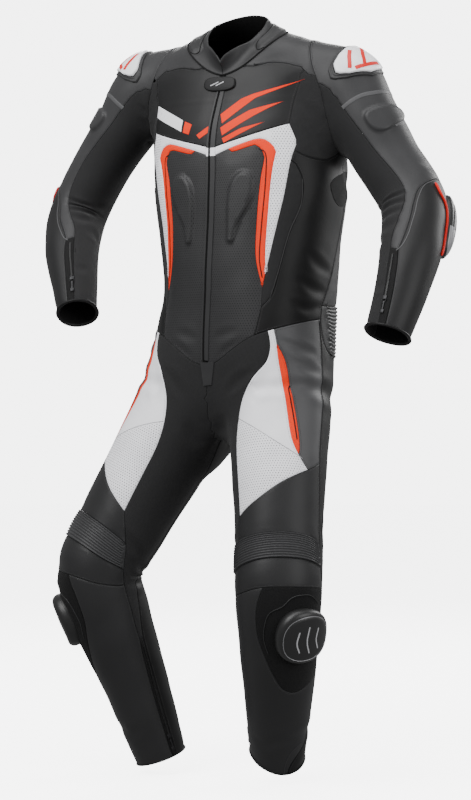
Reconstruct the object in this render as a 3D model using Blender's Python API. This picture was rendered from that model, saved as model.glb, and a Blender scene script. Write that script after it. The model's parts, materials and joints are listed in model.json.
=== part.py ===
# One-piece leather race suit, worn shape, hollow and open at neck, cuffs and hems.
# Metres, +Z up, front at -Y, wearer's left at +X; origin between the shoulders at neck height.
import bpy
import bmesh
import numpy as np
from math import radians
from mathutils import Vector
from mathutils.geometry import delaunay_2d_cdt

# ---- driving sizes ----
ARM_LENGTH = 0.645        # along a sleeve's axis, from its armhole's top to the cuff
LEG_LENGTH = 1.020        # along a leg's axis, from inside the waist to the hem
LEATHER = 0.0024          # wall of a leather panel
STRETCH = 0.0018          # wall of a stretch panel
COLLAR_WALL = 0.0040
SEAM_GAP = 0.0003         # between sewn pieces
STEP = {"torso": 0.040, "arm": 0.031, "leg": 0.035}   # spacing of points on each chart
KNEE_RIBS, BACK_RIBS = 11, 14
RIB_HEIGHT = 0.0026
PAD_HEIGHT, PAD_EDGE = 0.0035, 0.005
FAN = -0.13               # above this height the torso's measuring lines fan upward
FAN_REACH = 0.20          # chart length for one radian of the fan
ZIP_HALF = 3.1            # half width of the front zip strip, degrees
BLEND = {"arm": 0.045, "thighs": 0.035, "leg": 0.035}   # soft join between limbs

TORSO = [
    # height, centre x, centre y, turn, half width, front depth, back depth, squareness
    (0.060, 0.000, 0.000, 0, 0.072, 0.075, 0.070, 2.0),
    (0.010, 0.000, 0.005, 0, 0.092, 0.080, 0.080, 2.0),
    (-0.016, 0.000, 0.010, 0, 0.138, 0.085, 0.100, 2.1),
    (-0.045, 0.000, 0.018, 0, 0.172, 0.095, 0.115, 2.3),
    (-0.090, 0.000, 0.028, 1, 0.188, 0.112, 0.128, 2.4),
    (-0.150, 0.000, 0.038, 2, 0.196, 0.132, 0.142, 2.4),
    (-0.220, 0.000, 0.042, 3, 0.197, 0.145, 0.150, 2.4),
    (-0.300, 0.002, 0.044, 4, 0.196, 0.150, 0.156, 2.4),
    (-0.400, 0.002, 0.043, 7, 0.184, 0.148, 0.152, 2.4),
    (-0.480, 0.004, 0.040, 9, 0.175, 0.146, 0.152, 2.4),
    (-0.540, 0.003, 0.037, 10, 0.172, 0.140, 0.152, 2.4),
    (-0.600, -0.005, 0.034, 10, 0.176, 0.132, 0.152, 2.4),
    (-0.660, -0.016, 0.032, 10, 0.176, 0.120, 0.150, 2.4),
    (-0.720, -0.020, 0.030, 10, 0.165, 0.100, 0.135, 2.3),
    (-0.760, -0.020, 0.035, 10, 0.110, 0.070, 0.105, 2.1),
]
RAYS = [
    # height, x, y, turn of the lines the torso's chart is measured along
    (-0.70, -0.018, 0.032, 10), (-0.60, -0.008, 0.034, 10), (-0.50, 0.0, 0.038, 9),
    (-0.40, 0.0, 0.038, 7), (-0.25, 0.0, 0.030, 3), (-0.13, 0.0, 0.016, 1),
]
ARM_LEFT = [
    # x, y, z, facing, side half width, front depth, back depth, squareness
    (0.100, 0.040, -0.058, 0, 0.046, 0.052, 0.052, 2.0),
    (0.150, 0.040, -0.072, 0, 0.058, 0.064, 0.064, 2.0),
    (0.204, 0.040, -0.094, 0, 0.072, 0.074, 0.074, 2.0),
    (0.252, 0.038, -0.165, 0, 0.068, 0.070, 0.070, 2.1),
    (0.304, 0.036, -0.252, 0, 0.064, 0.064, 0.066, 2.1),
    (0.362, 0.022, -0.338, 4, 0.064, 0.062, 0.072, 2.1),
    (0.380, -0.030, -0.420, 7, 0.060, 0.058, 0.066, 2.1),
    (0.377, -0.075, -0.508, 7, 0.051, 0.052, 0.055, 2.1),
    (0.364, -0.114, -0.597, 7, 0.043, 0.044, 0.045, 2.1),
]
ARM_RIGHT = [
    (-0.100, 0.040, -0.050, 0, 0.048, 0.054, 0.054, 2.0),
    (-0.150, 0.040, -0.062, 0, 0.060, 0.066, 0.066, 2.0),
    (-0.216, 0.040, -0.082, 0, 0.074, 0.076, 0.074, 2.0),
    (-0.282, 0.038, -0.160, 0, 0.062, 0.068, 0.068, 2.1),
    (-0.346, 0.036, -0.250, 0, 0.058, 0.062, 0.064, 2.1),
    (-0.386, 0.022, -0.335, 7, 0.058, 0.060, 0.068, 2.1),
    (-0.370, -0.030, -0.410, 12, 0.055, 0.056, 0.060, 2.1),
    (-0.339, -0.073, -0.482, 12, 0.046, 0.050, 0.053, 2.1),
    (-0.312, -0.108, -0.545, 12, 0.039, 0.042, 0.043, 2.1),
]
LEG_LEFT = [
    (0.042, 0.030, -0.460, -10, 0.080, 0.100, 0.100, 2.2),
    (0.052, 0.025, -0.520, -10, 0.090, 0.110, 0.110, 2.2),
    (0.066, 0.020, -0.620, 0, 0.102, 0.115, 0.120, 2.2),
    (0.082, 0.008, -0.720, 10, 0.102, 0.105, 0.115, 2.2),
    (0.100, -0.030, -0.850, 20, 0.095, 0.098, 0.100, 2.1),
    (0.117, -0.068, -0.980, 28, 0.086, 0.088, 0.088, 2.1),
    (0.128, -0.093, -1.095, 30, 0.085, 0.085, 0.083, 2.1),
    (0.119, -0.072, -1.190, 30, 0.078, 0.078, 0.086, 2.1),
    (0.098, -0.028, -1.300, 30, 0.068, 0.068, 0.076, 2.1),
    (0.071, 0.025, -1.438, 30, 0.054, 0.057, 0.058, 2.0),
]
LEG_RIGHT = [
    (-0.046, 0.046, -0.460, -10, 0.080, 0.100, 0.100, 2.2),
    (-0.060, 0.045, -0.520, -10, 0.090, 0.110, 0.110, 2.2),
    (-0.084, 0.042, -0.610, -18, 0.100, 0.115, 0.120, 2.2),
    (-0.122, 0.030, -0.710, -26, 0.102, 0.105, 0.115, 2.2),
    (-0.178, 0.000, -0.830, -36, 0.096, 0.098, 0.100, 2.1),
    (-0.238, -0.040, -0.960, -42, 0.089, 0.090, 0.090, 2.1),
    (-0.280, -0.069, -1.072, -45, 0.085, 0.088, 0.082, 2.1),
    (-0.264, -0.054, -1.165, -45, 0.077, 0.078, 0.082, 2.1),
    (-0.229, -0.022, -1.285, -45, 0.065, 0.067, 0.067, 2.1),
    (-0.186, 0.018, -1.446, -45, 0.052, 0.054, 0.050, 2.0),
]
FOLDS = [
    # x, y, z, radius: places where the cloth turns sharply and points lie closer
    (0.210, 0.036, -0.243, 0.075), (-0.210, 0.036, -0.188, 0.075),
    (0.199, 0.102, -0.166, 0.055), (-0.201, 0.097, -0.140, 0.055),
    (-0.048, 0.040, -0.850, 0.060),
]
ARM_START = 0.052         # axis length before the sleeve's chart begins
ARMHOLES = {
    # middle x, y, z; rise outward and up to the shoulder; drop outward and down to the underarm
    "left": ((0.193, 0.036, -0.120), (-0.032, 0.090), (0.017, -0.123)),
    "right": ((-0.193, 0.036, -0.120), (0.032, 0.090), (-0.017, -0.068)),
}
CROTCH = ((-0.003, -0.60), (-0.043, -0.80))       # x and z of the plane between the legs
RIM = [
    # angle from the front, height, distance from the neck's middle, for the collar's top edge
    (0, -0.058, 0.092), (15, -0.047, 0.086), (30, -0.024, 0.077), (48, 0.003, 0.070),
    (64, 0.020, 0.065), (90, 0.038, 0.061), (116, 0.048, 0.058), (150, 0.053, 0.057),
    (180, 0.054, 0.057),
]

# ---- seams: (angle from the front in degrees, distance down or along), for the left half ----
NECK = [(0, .101), (18, .112), (34, .130), (52, .152), (72, .176), (100, .200), (140, .214),
        (180, .216)]
WAIST_FRONT = [(0, -.522), (13, -.515), (29, -.487), (42, -.465), (53, -.454), (65, -.444),
               (78, -.436), (90, -.431)]
WAIST_BACK = [(90, -.431), (93, -.470), (100, -.496), (120, -.507), (150, -.511), (180, -.512)]
BACK_STOPS = [.216, .066, -.396, -.512]
CHEST_TURN = [
    # height, share: the chest's seams sit toward the wearer's right, most at its widest
    (-.24, 0), (-.147, .30), (-.087, .72), (-.04, .80), (0, .40), (.03, .15), (.046, 0),
]
TURN_MIDDLE, TURN_SIDE = 5, 8       # degrees at the zip, and more at the right side
ZIP_STOPS = [.103, .06, .02, -.03, -.087, -.147, -.20, -.26, -.38, -.521]
TORSO_SEAMS = {
    # name: points, line met at the start, line met at the end
    "yokeFront": ([(26, .1215), (38, .110), (52, .106), (64, .088), (70.5, .064), (74.5, .046)],
                  "neck", "armhole"),
    "yokeBack": ([(117, .027), (130, .046), (153, .061), (180, .066)], "armhole", "back"),
    "chestEdge": ([(70.5, .064), (66, .015), (62, -.020), (58.5, -.052)], "yokeFront", None),
    "chevronTop": ([(3.1, -.094), (32, -.074), (58.5, -.052)], "zip", "chestEdge"),
    "whiteOuter": ([(58.5, -.052), (62.5, -.088), (57.5, -.132), (50, -.233), (44, -.371)],
                   "chestEdge", None),
    "chevronLow": ([(3.1, -.110), (15, -.099)], "zip", None),
    "stripeOuter": ([(15, -.099), (30, -.086), (40, -.080), (46, -.090), (49, -.112),
                     (47, -.182), (46.4, -.25), (46.3, -.312)], "chevronLow", "whiteOuter"),
    "stripeInner": ([(15, -.099), (18, -.107), (35, -.096), (40.5, -.108), (40, -.16),
                     (38.5, -.312), (44, -.371)], "chevronLow", "whiteOuter"),
    "stripEnd": ([(44, -.371), (45, -.409)], "whiteOuter", None),
    "sideTop": ([(61, -.108), (72, -.118), (82, -.118), (90, -.105)], "whiteOuter", "armhole"),
    "sideFront": ([(59, -.122), (65, -.160), (65, -.211), (59, -.265), (54, -.337),
                   (50, -.390), (45, -.409)], "whiteOuter", "stripEnd"),
    "frontSide": ([(45, -.409), (42.5, -.466)], "stripEnd", "waist"),
    "sideBack": ([(98, -.098), (109, -.20), (105, -.30), (96, -.375), (91, -.405)],
                 "armhole", None),
    "ribsTop": ([(91, -.405), (120, -.402), (150, -.398), (180, -.396)], "sideBack", "back"),
    "ribsFront": ([(91, -.405), (90, -.431)], "sideBack", "waist"),
}
SLEEVE_SEAMS = {
    "sleeveFront": ([(-11, .050), (-5, .13), (4, .22), (11, .29), (9, .345), (-2, .395),
                     (-17, .437), (-27, .468), (-28, .490)], "armhole", None),
    "sleeveBack": ([(206, .12), (216, .20), (222, .35), (226, .50), (228, .645)],
                   "armhole", "cuff"),
    "zipTop": ([(-28, .490), (-10, .495)], "sleeveFront", None),
    "zipInner": ([(-28, .490), (-27, .52), (-15, .645)], "sleeveFront", "cuff"),
    "zipOuter": ([(-10, .495), (-5, .53), (4, .645)], "zipTop", "cuff"),
    "elbow": ([(-10, .495), (6, .443), (15, .400), (32, .362), (60, .343), (95, .333),
               (140, .335), (185, .345), (222, .360)], "zipTop", "sleeveBack"),
}
LEG_SEAMS = {
    "innerFront": ([(23.5, .141), (20, .176), (12, .204), (-6, .232), (-25, .273), (-41, .323),
                    (-51, .372), (-56, .428), (-60, .480), (-62, .512)], "waist", None),
    "kneeInner": ([(-62, .512), (-74, .540), (-87, .565), (-99, .600), (-107, .640),
                   (-110, .700), (-110, .780)], "innerFront", None),
    "outerBack": ([(84, .116), (81, .160), (78, .205), (70, .285), (63, .350), (60, .404),
                   (60, .480), (62, .567), (67, .610), (80, .645), (98, .700), (104, .780),
                   (100, .860), (82, .920), (55, .960), (24, .995), (14, 1.020)],
                  "waistFront*", "hem"),
    "thighLow": ([(-62, .512), (-29, .488), (7, .455), (38, .430), (49, .421), (60, .408)],
                 "innerFront", "outerBack"),
    "whiteOuter": ([(29, .137), (27, .169), (24, .200), (20, .284), (21, .372), (28, .402),
                    (38, .430)], "waist", "thighLow"),
    "stripeEdge": ([(27, .169), (30, .205), (28, .258), (28.5, .320), (30, .380), (29, .404)],
                   "whiteOuter", "whiteOuter"),
    "ribsTop": ([(-87, .565), (-60, .559), (-26, .554), (7, .552), (36, .556), (62, .567)],
                "kneeInner", "outerBack"),
    "ribsLow": ([(-102, .616), (-70, .610), (-30, .602), (6, .600), (42, .602), (66, .608)],
                "kneeInner", "outerBack"),
    "kneeLow": ([(-108, .664), (-72, .652), (-34, .642), (0, .640), (35, .641), (78, .642)],
                "kneeInner", "outerBack"),
    "zipTop": ([(-110, .780), (-117, .780)], "kneeInner", None),
    "zipFront": ([(-110, .780), (-103, .850), (-100, .930), (-99, 1.020)], "kneeInner", "hem"),
    "zipBack": ([(-117, .780), (-113, .850), (-111, .930), (-110, 1.020)], "zipTop", "hem"),
    "innerBack": ([(-128, .345), (-138, .420), (-141, .520), (-137, .620), (-128, .700),
                   (-117, .780)], "mid", "zipTop"),
    "grip": ([(-26, .6415), (-35, .665), (-36, .705), (-28, .742), (-13, .785), (2, .815),
              (18, .825), (38, .822), (60, .811), (80, .775), (88, .730), (84, .685),
              (73, .641)], "kneeLow", "kneeLow"),
}
HEMS = {
    # the hem's line round each leg
    "left": [(-180, 1.006), (-90, .998), (-45, 1.008), (0, 1.020), (40, 1.020), (90, 1.013),
             (180, 1.006)],
    "right": [(-180, 1.020), (0, 1.020), (180, 1.020)],
}
CALF_PULLS = {"left": .962, "right": .985}       # how far down each calf's zip pull hangs
# raised pads: closed outlines on a chart
FRONT_PAD = [(27, -.142), (18, -.162), (15, -.20), (15.5, -.245), (17, -.282), (21.5, -.283),
             (25, -.248), (32, -.215), (35.5, -.185), (34.5, -.155)]
SLEEVE_PAD = [(12, .165), (30, .158), (60, .163), (95, .176), (112, .190), (100, .205),
              (70, .206), (45, .214), (22, .206), (12, .186)]
# hard pieces on a chart: middle angle, middle distance, half angle, half length
CUP = (70, .056, 56, .036)
ELBOW = (120, .402, 33, .056)
KNEE = (25, .715, 37, .049)
TAB = (-2, .0635, 20, .028)
# panels: seed on the chart, material, wall
TORSO_PANELS = {
    "chest": ((40, .03), "charcoal leather", LEATHER),
    "chevron": ((55, -.10), "white leather", LEATHER),
    "chest_stripe": ((44, -.2), "orange leather", LEATHER),
    "front": ((20, -.2), "charcoal leather", LEATHER),
    "side_stretch": ((67, -.04), "black stretch", STRETCH),
    "side_strip": ((58, -.2), "black stretch", STRETCH),
    "side": ((85, -.25), "dark leather", LEATHER),
}
SLEEVE_PANELS = {
    "sleeve_upper": ([(60, .2)], "charcoal leather", LEATHER),
    "sleeve_stretch": ([(-60, .4), (250, .4)], "black stretch", STRETCH),
    "forearm": ([(90, .5)], "charcoal leather", LEATHER),
    "cuff_zip": ([(-15, .55)], "zip tape", STRETCH),
}
LEG_PANELS = {
    "leg_stretch": ([(-80, .45)], "black stretch", STRETCH),
    "thigh_white": ([(0, .35)], "white leather", LEATHER),
    "thigh_stripe": ([(25, .28)], "orange leather", LEATHER),
    "hip": ([(50, .25)], "charcoal leather", LEATHER),
    "leg_back": ([(120, .4), (-160, .5)], "dark leather", LEATHER),
    "knee_upper": ([(0, .51)], "charcoal leather", LEATHER),
    "knee_ribs": ([(0, .575)], "charcoal leather", LEATHER),
    "knee_top": ([(0, .62)], "charcoal leather", LEATHER),
    "knee_grip": ([(20, .7)], "black grip", STRETCH),
    "shin": ([(-60, .8)], "dark leather", LEATHER),
    "calf_zip": ([(-106, .95)], "zip tape", STRETCH),
}
MATERIALS = {
    # red, green, blue, roughness, metallic
    "charcoal leather": (0.062, 0.062, 0.065, 0.48, 0.0),
    "dark leather": (0.024, 0.024, 0.026, 0.45, 0.0),
    "white leather": (0.76, 0.76, 0.75, 0.50, 0.0),
    "orange leather": (1.00, 0.10, 0.035, 0.50, 0.0),
    "black stretch": (0.018, 0.017, 0.018, 0.85, 0.0),
    "black grip": (0.010, 0.010, 0.010, 0.95, 0.0),
    "zip tape": (0.014, 0.014, 0.015, 0.75, 0.0),
    "white plastic": (0.70, 0.70, 0.70, 0.30, 0.0),
    "black plastic": (0.018, 0.018, 0.020, 0.30, 0.0),
    "zip metal": (0.12, 0.12, 0.13, 0.35, 1.0),
}


# ---- the garment's smooth form ----
def smoothRows(rows, at):
    rows = np.asarray(rows, float)
    key, val = rows[:, 0], rows[:, 1:]
    slope = np.gradient(val, key, axis=0)
    i = np.clip(np.searchsorted(key, at) - 1, 0, len(key) - 2)
    h = (key[i + 1] - key[i])[:, None]
    t = (np.asarray(at)[:, None] - key[i][:, None]) / h
    return ((2*t**3 - 3*t**2 + 1)*val[i] + (t**3 - 2*t**2 + t)*h*slope[i]
            + (3*t**2 - 2*t**3)*val[i + 1] + (t**3 - t**2)*h*slope[i + 1])


def smoothMin(a, b, k):
    h = np.clip(0.5 + 0.5*(b - a)/k, 0, 1)
    return b*(1 - h) + a*h - k*h*(1 - h)


def unit(rows):
    return rows / np.maximum(np.linalg.norm(rows, axis=-1), 1e-12)[..., None]


def alongLine(points):
    return np.concatenate([[0], np.cumsum(np.linalg.norm(np.diff(points, axis=0), axis=1))])


class Limb:
    # superellipse sections swept along a smooth axis
    def __init__(self, stations, count=90):
        stations = np.asarray(stations, float)
        along = alongLine(stations[:, :3])
        rows = smoothRows(np.column_stack([along, stations]),
                          np.linspace(0, along[-1], count))
        along = alongLine(rows[:, :3])
        self.t = np.linspace(0, along[-1], count)
        rows = np.column_stack([np.interp(self.t, along, c) for c in rows.T])
        self.length, self.step = along[-1], self.t[1]
        self.axis = rows[:, :3]
        self.tan = unit(np.gradient(self.axis, self.t, axis=0))
        a = np.radians(rows[:, 3])
        face = np.column_stack([np.sin(a), -np.cos(a), 0*a])
        self.front = unit(face - (face*self.tan).sum(1)[:, None]*self.tan)
        self.side = np.cross(self.front, self.tan)
        self.size = rows[:, 4:8]

    def at(self, rows, t):
        u = np.clip(t/self.step, 0, len(self.t) - 1.000001)
        i = u.astype(int)
        f = (u - i)[:, None]
        return rows[i]*(1 - f) + rows[i + 1]*f

    def local(self, p):
        t = np.empty(len(p))
        for c in range(0, len(p), 20000):
            q = p[c:c + 20000]
            d2 = ((q[:, None, :] - self.axis[None, ::3, :])**2).sum(2)
            t[c:c + 20000] = self.t[::3][d2.argmin(1)]
        for _ in range(3):
            step = ((p - self.at(self.axis, t))*self.at(self.tan, t)).sum(1)
            t = np.clip(t + step, 0, self.length)
        d = p - self.at(self.axis, t)
        return [t] + [(d*self.at(rows, t)).sum(1) for rows in (self.side, self.front, self.tan)]

    def radius(self, t, x, y):
        size = self.at(self.size, t)
        rho = np.maximum(np.hypot(x, y), 1e-9)
        depth = np.where(y > 0, size[:, 1], size[:, 2])
        n = size[:, 3]
        return ((np.abs(x)/rho/size[:, 0])**n + (np.abs(y)/rho/depth)**n)**(-1/n)

    def field(self, p):
        t, x, y, over = self.local(p)
        r = self.radius(t, x, y)
        h = 0.004
        slope = (self.radius(np.minimum(t + h, self.length), x, y)
                 - self.radius(np.maximum(t - h, 0), x, y)) / (2*h)
        return (np.sqrt(x*x + y*y + over*over) - r) / np.sqrt(1 + slope*slope)


class Form:
    # the limbs joined softly; negative inside
    def __init__(self):
        rows = [(x, y, z, -turn, w, f, b, n) for z, x, y, turn, w, f, b, n in TORSO]
        self.torso = Limb(rows)
        self.arms = {"left": Limb(ARM_LEFT), "right": Limb(ARM_RIGHT)}
        self.legs = {"left": Limb(LEG_LEFT), "right": Limb(LEG_RIGHT)}

    def field(self, p):
        f = self.torso.field(p)
        for arm in self.arms.values():
            f = smoothMin(f, arm.field(p), BLEND["arm"])
        left, right = self.legs["left"].field(p), self.legs["right"].field(p)
        return smoothMin(f, smoothMin(left, right, BLEND["thighs"]), BLEND["leg"])

    def normal(self, p, h=0.0015):
        steps = np.eye(3)*h
        return unit(np.column_stack([self.field(p + d) - self.field(p - d) for d in steps]))

    def cast(self, origin, ray, start=0.02, rounds=16):
        r = np.full(len(origin), start)
        for _ in range(rounds):
            r = r - 0.95*np.clip(self.field(origin + r[:, None]*ray), -0.06, 0.03)
        return r


# ---- charts: an angle and a distance for each point of the surface ----
class TorsoMap:
    low, high = (-180, -0.60), (180, 0.27)

    def __init__(self, form):
        self.form, self.rows = form, np.array(RAYS)

    def frame(self, z):
        x, y, turn = [np.interp(z, self.rows[:, 0], self.rows[:, k]) for k in (1, 2, 3)]
        turn = np.radians(turn)
        front = np.column_stack([-np.sin(turn), -np.cos(turn), 0*z])
        side = np.column_stack([np.cos(turn), -np.sin(turn), 0*z])
        return np.column_stack([x, y, z]), front, side

    def line(self, uv):
        origin, front, side = self.frame(FAN + np.minimum(uv[:, 1], 0))
        lift = (np.maximum(uv[:, 1], 0)/FAN_REACH)[:, None]
        a = np.radians(uv[:, 0])[:, None]
        flat = np.cos(a)*front + np.sin(a)*side
        return origin, np.cos(lift)*flat + np.sin(lift)*np.array([0, 0, 1.0])

    def back(self, p):
        origin, front, side = self.frame(np.minimum(p[:, 2], FAN))
        d = p - origin
        x, y = (d*side).sum(1), (d*front).sum(1)
        lift = np.arctan2(p[:, 2] - FAN, np.hypot(x, y))*FAN_REACH
        v = np.where(p[:, 2] < FAN, p[:, 2] - FAN, lift)
        return np.column_stack([np.degrees(np.arctan2(x, y)), v])

    def girth(self, v):
        return 0.165*np.cos(np.clip(v/FAN_REACH, 0, 1.25))


class LimbMap:
    def __init__(self, form, limb, mirror, nominal, before, start, girths):
        self.form, self.limb, self.mirror, self.before = form, limb, mirror, before
        self.scale = (limb.length - before)/nominal
        self.start, self.girths = start, np.array(girths)
        self.low, self.high = (start, -before/self.scale), (start + 360, nominal)

    def line(self, uv):
        t = uv[:, 1]*self.scale + self.before
        a = np.radians(uv[:, 0])[:, None]
        side = self.limb.at(self.limb.side, t)*self.mirror
        ray = np.cos(a)*self.limb.at(self.limb.front, t) + np.sin(a)*side
        return self.limb.at(self.limb.axis, t), unit(ray)

    def back(self, p):
        t, x, y, _ = self.limb.local(p)
        u = np.degrees(np.arctan2(self.mirror*x, y))
        u = (u - self.start) % 360 + self.start
        return np.column_stack([u, (t - self.before)/self.scale])

    def girth(self, v):
        return np.interp(v, self.girths[:, 0], self.girths[:, 1])


def cubicWeights(f):
    return (-0.5*f + f*f - 0.5*f**3, 1 - 2.5*f*f + 1.5*f**3,
            0.5*f + 2*f*f - 1.5*f**3, -0.5*f*f + 0.5*f**3)


class Surface:
    # the form measured once on a grid of a chart, then read smoothly between
    def __init__(self, chart, du=5.0, dv=0.0125):
        self.chart = chart
        nu = int(round((chart.high[0] - chart.low[0])/du)) + 1
        nv = int(round((chart.high[1] - chart.low[1])/dv)) + 1
        self.us = np.linspace(chart.low[0], chart.high[0], nu)
        self.vs = np.linspace(chart.low[1], chart.high[1], nv)
        u, v = np.meshgrid(self.us, self.vs, indexing="ij")
        origin, ray = chart.line(np.column_stack([u.ravel(), v.ravel()]))
        self.grid = chart.form.cast(origin, ray).reshape(nu, nv)

    def reach(self, uv):
        nu, nv = self.grid.shape
        a = (uv[:, 0] - self.us[0])/(self.us[1] - self.us[0])
        b = np.clip((uv[:, 1] - self.vs[0])/(self.vs[1] - self.vs[0]), 0, nv - 1.0001)
        i, j = np.floor(a).astype(int), np.floor(b).astype(int)
        wa, wb = cubicWeights(a - i), cubicWeights(b - j)
        out = np.zeros(len(uv))
        for m in range(4):
            for n in range(4):
                cell = self.grid[(i + m - 1) % (nu - 1), np.clip(j + n - 1, 0, nv - 1)]
                out += wa[m]*wb[n]*cell
        return out

    def point(self, uv):
        origin, ray = self.chart.line(uv)
        return origin + self.reach(uv)[:, None]*ray

    def normal(self, uv):
        du, dv = np.array([0.4, 0.0]), np.array([0.0, 0.001])
        n = unit(np.cross(self.point(uv + du) - self.point(uv - du),
                          self.point(uv + dv) - self.point(uv - dv)))
        out = (n*self.chart.line(uv)[1]).sum(1) < 0
        return np.where(out[:, None], -n, n)

    def flat(self, uv):
        uv = np.asarray(uv, float)
        return np.column_stack([np.radians(uv[:, 0])*self.chart.girth(uv[:, 1]), uv[:, 1]])

    def unflat(self, xy):
        return np.column_stack([np.degrees(xy[:, 0]/self.chart.girth(xy[:, 1])), xy[:, 1]])


def crowding(p):
    # how much closer than usual points lie near a fold
    away = np.min([np.linalg.norm(p - np.array([x, y, z]), axis=1)/r for x, y, z, r in FOLDS],
                  axis=0)
    return np.clip(0.36 + 0.64*(away - 0.45)/0.55, 0.36, 1.0)


def evenMarks(along, scale, step, least):
    # distances along a line, closer where its scale is small
    mid = (scale[1:] + scale[:-1])/2
    load = np.concatenate([[0], np.cumsum(np.diff(along)/mid)])
    count = max(least, int(round(load[-1]/step)))
    return np.interp(np.linspace(0, load[-1], count + 1), load, along)


def smoothLine(points, surface, step, closed=False):
    # evenly spaced chart points on a smooth line through the given ones
    pts = np.asarray(points, float)
    if closed:
        pts = np.vstack([pts, pts[:1]])
    key = np.concatenate([[0], np.cumsum(np.sqrt(np.diff(alongLine(surface.flat(pts)))))])
    fine = np.linspace(0, key[-1], 40*len(pts))
    if closed:
        keys = np.concatenate([key[-4:-1] - key[-1], key, key[1:4] + key[-1]])
        dense = smoothRows(np.column_stack([keys, np.vstack([pts[-4:-1], pts, pts[1:4]])]),
                           fine)
    elif len(pts) == 2:
        dense = pts[0] + (pts[1] - pts[0])*(fine/key[-1])[:, None]
    else:
        dense = smoothRows(np.column_stack([key, pts]), fine)
    length = alongLine(surface.flat(dense))
    at = evenMarks(length, crowding(surface.point(dense)), step, 7 if closed else 1)
    line = np.column_stack([np.interp(at, length, c) for c in dense.T])
    return line[:-1] if closed else line


def spaced(points, step, closed):
    along = alongLine(points)
    at = evenMarks(along, crowding(points), step, 4)
    line = np.column_stack([np.interp(at, along, c) for c in points.T])
    return line[:-1] if closed else line


def otherSide(points, sign):
    return [(sign*u, v) for u, v in points]


def turnChest(points):
    # moves chest points toward the wearer's right, as far as the turned chest needs
    heights, shares = zip(*CHEST_TURN)
    out = []
    for u, v in points:
        reach = (TURN_MIDDLE*max(1 - u/45, 0) if u > 0
                 else TURN_MIDDLE + TURN_SIDE*min(-u/50, 1))
        room = min(max((96 - abs(u))/14, 0), 1)
        out.append((u - reach*room*float(np.interp(v, heights, shares)), v))
    return out


# ---- panels cut on a chart ----
class World:
    # the points of all panels; one that two charts share is kept once
    def __init__(self):
        self.points, self.normals = [], []

    def add(self, points, normals):
        first = len(self.points)
        self.points += [np.array(p, float) for p in points]
        self.normals += [np.array(n, float) for n in normals]
        return list(range(first, len(self.points)))


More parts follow.
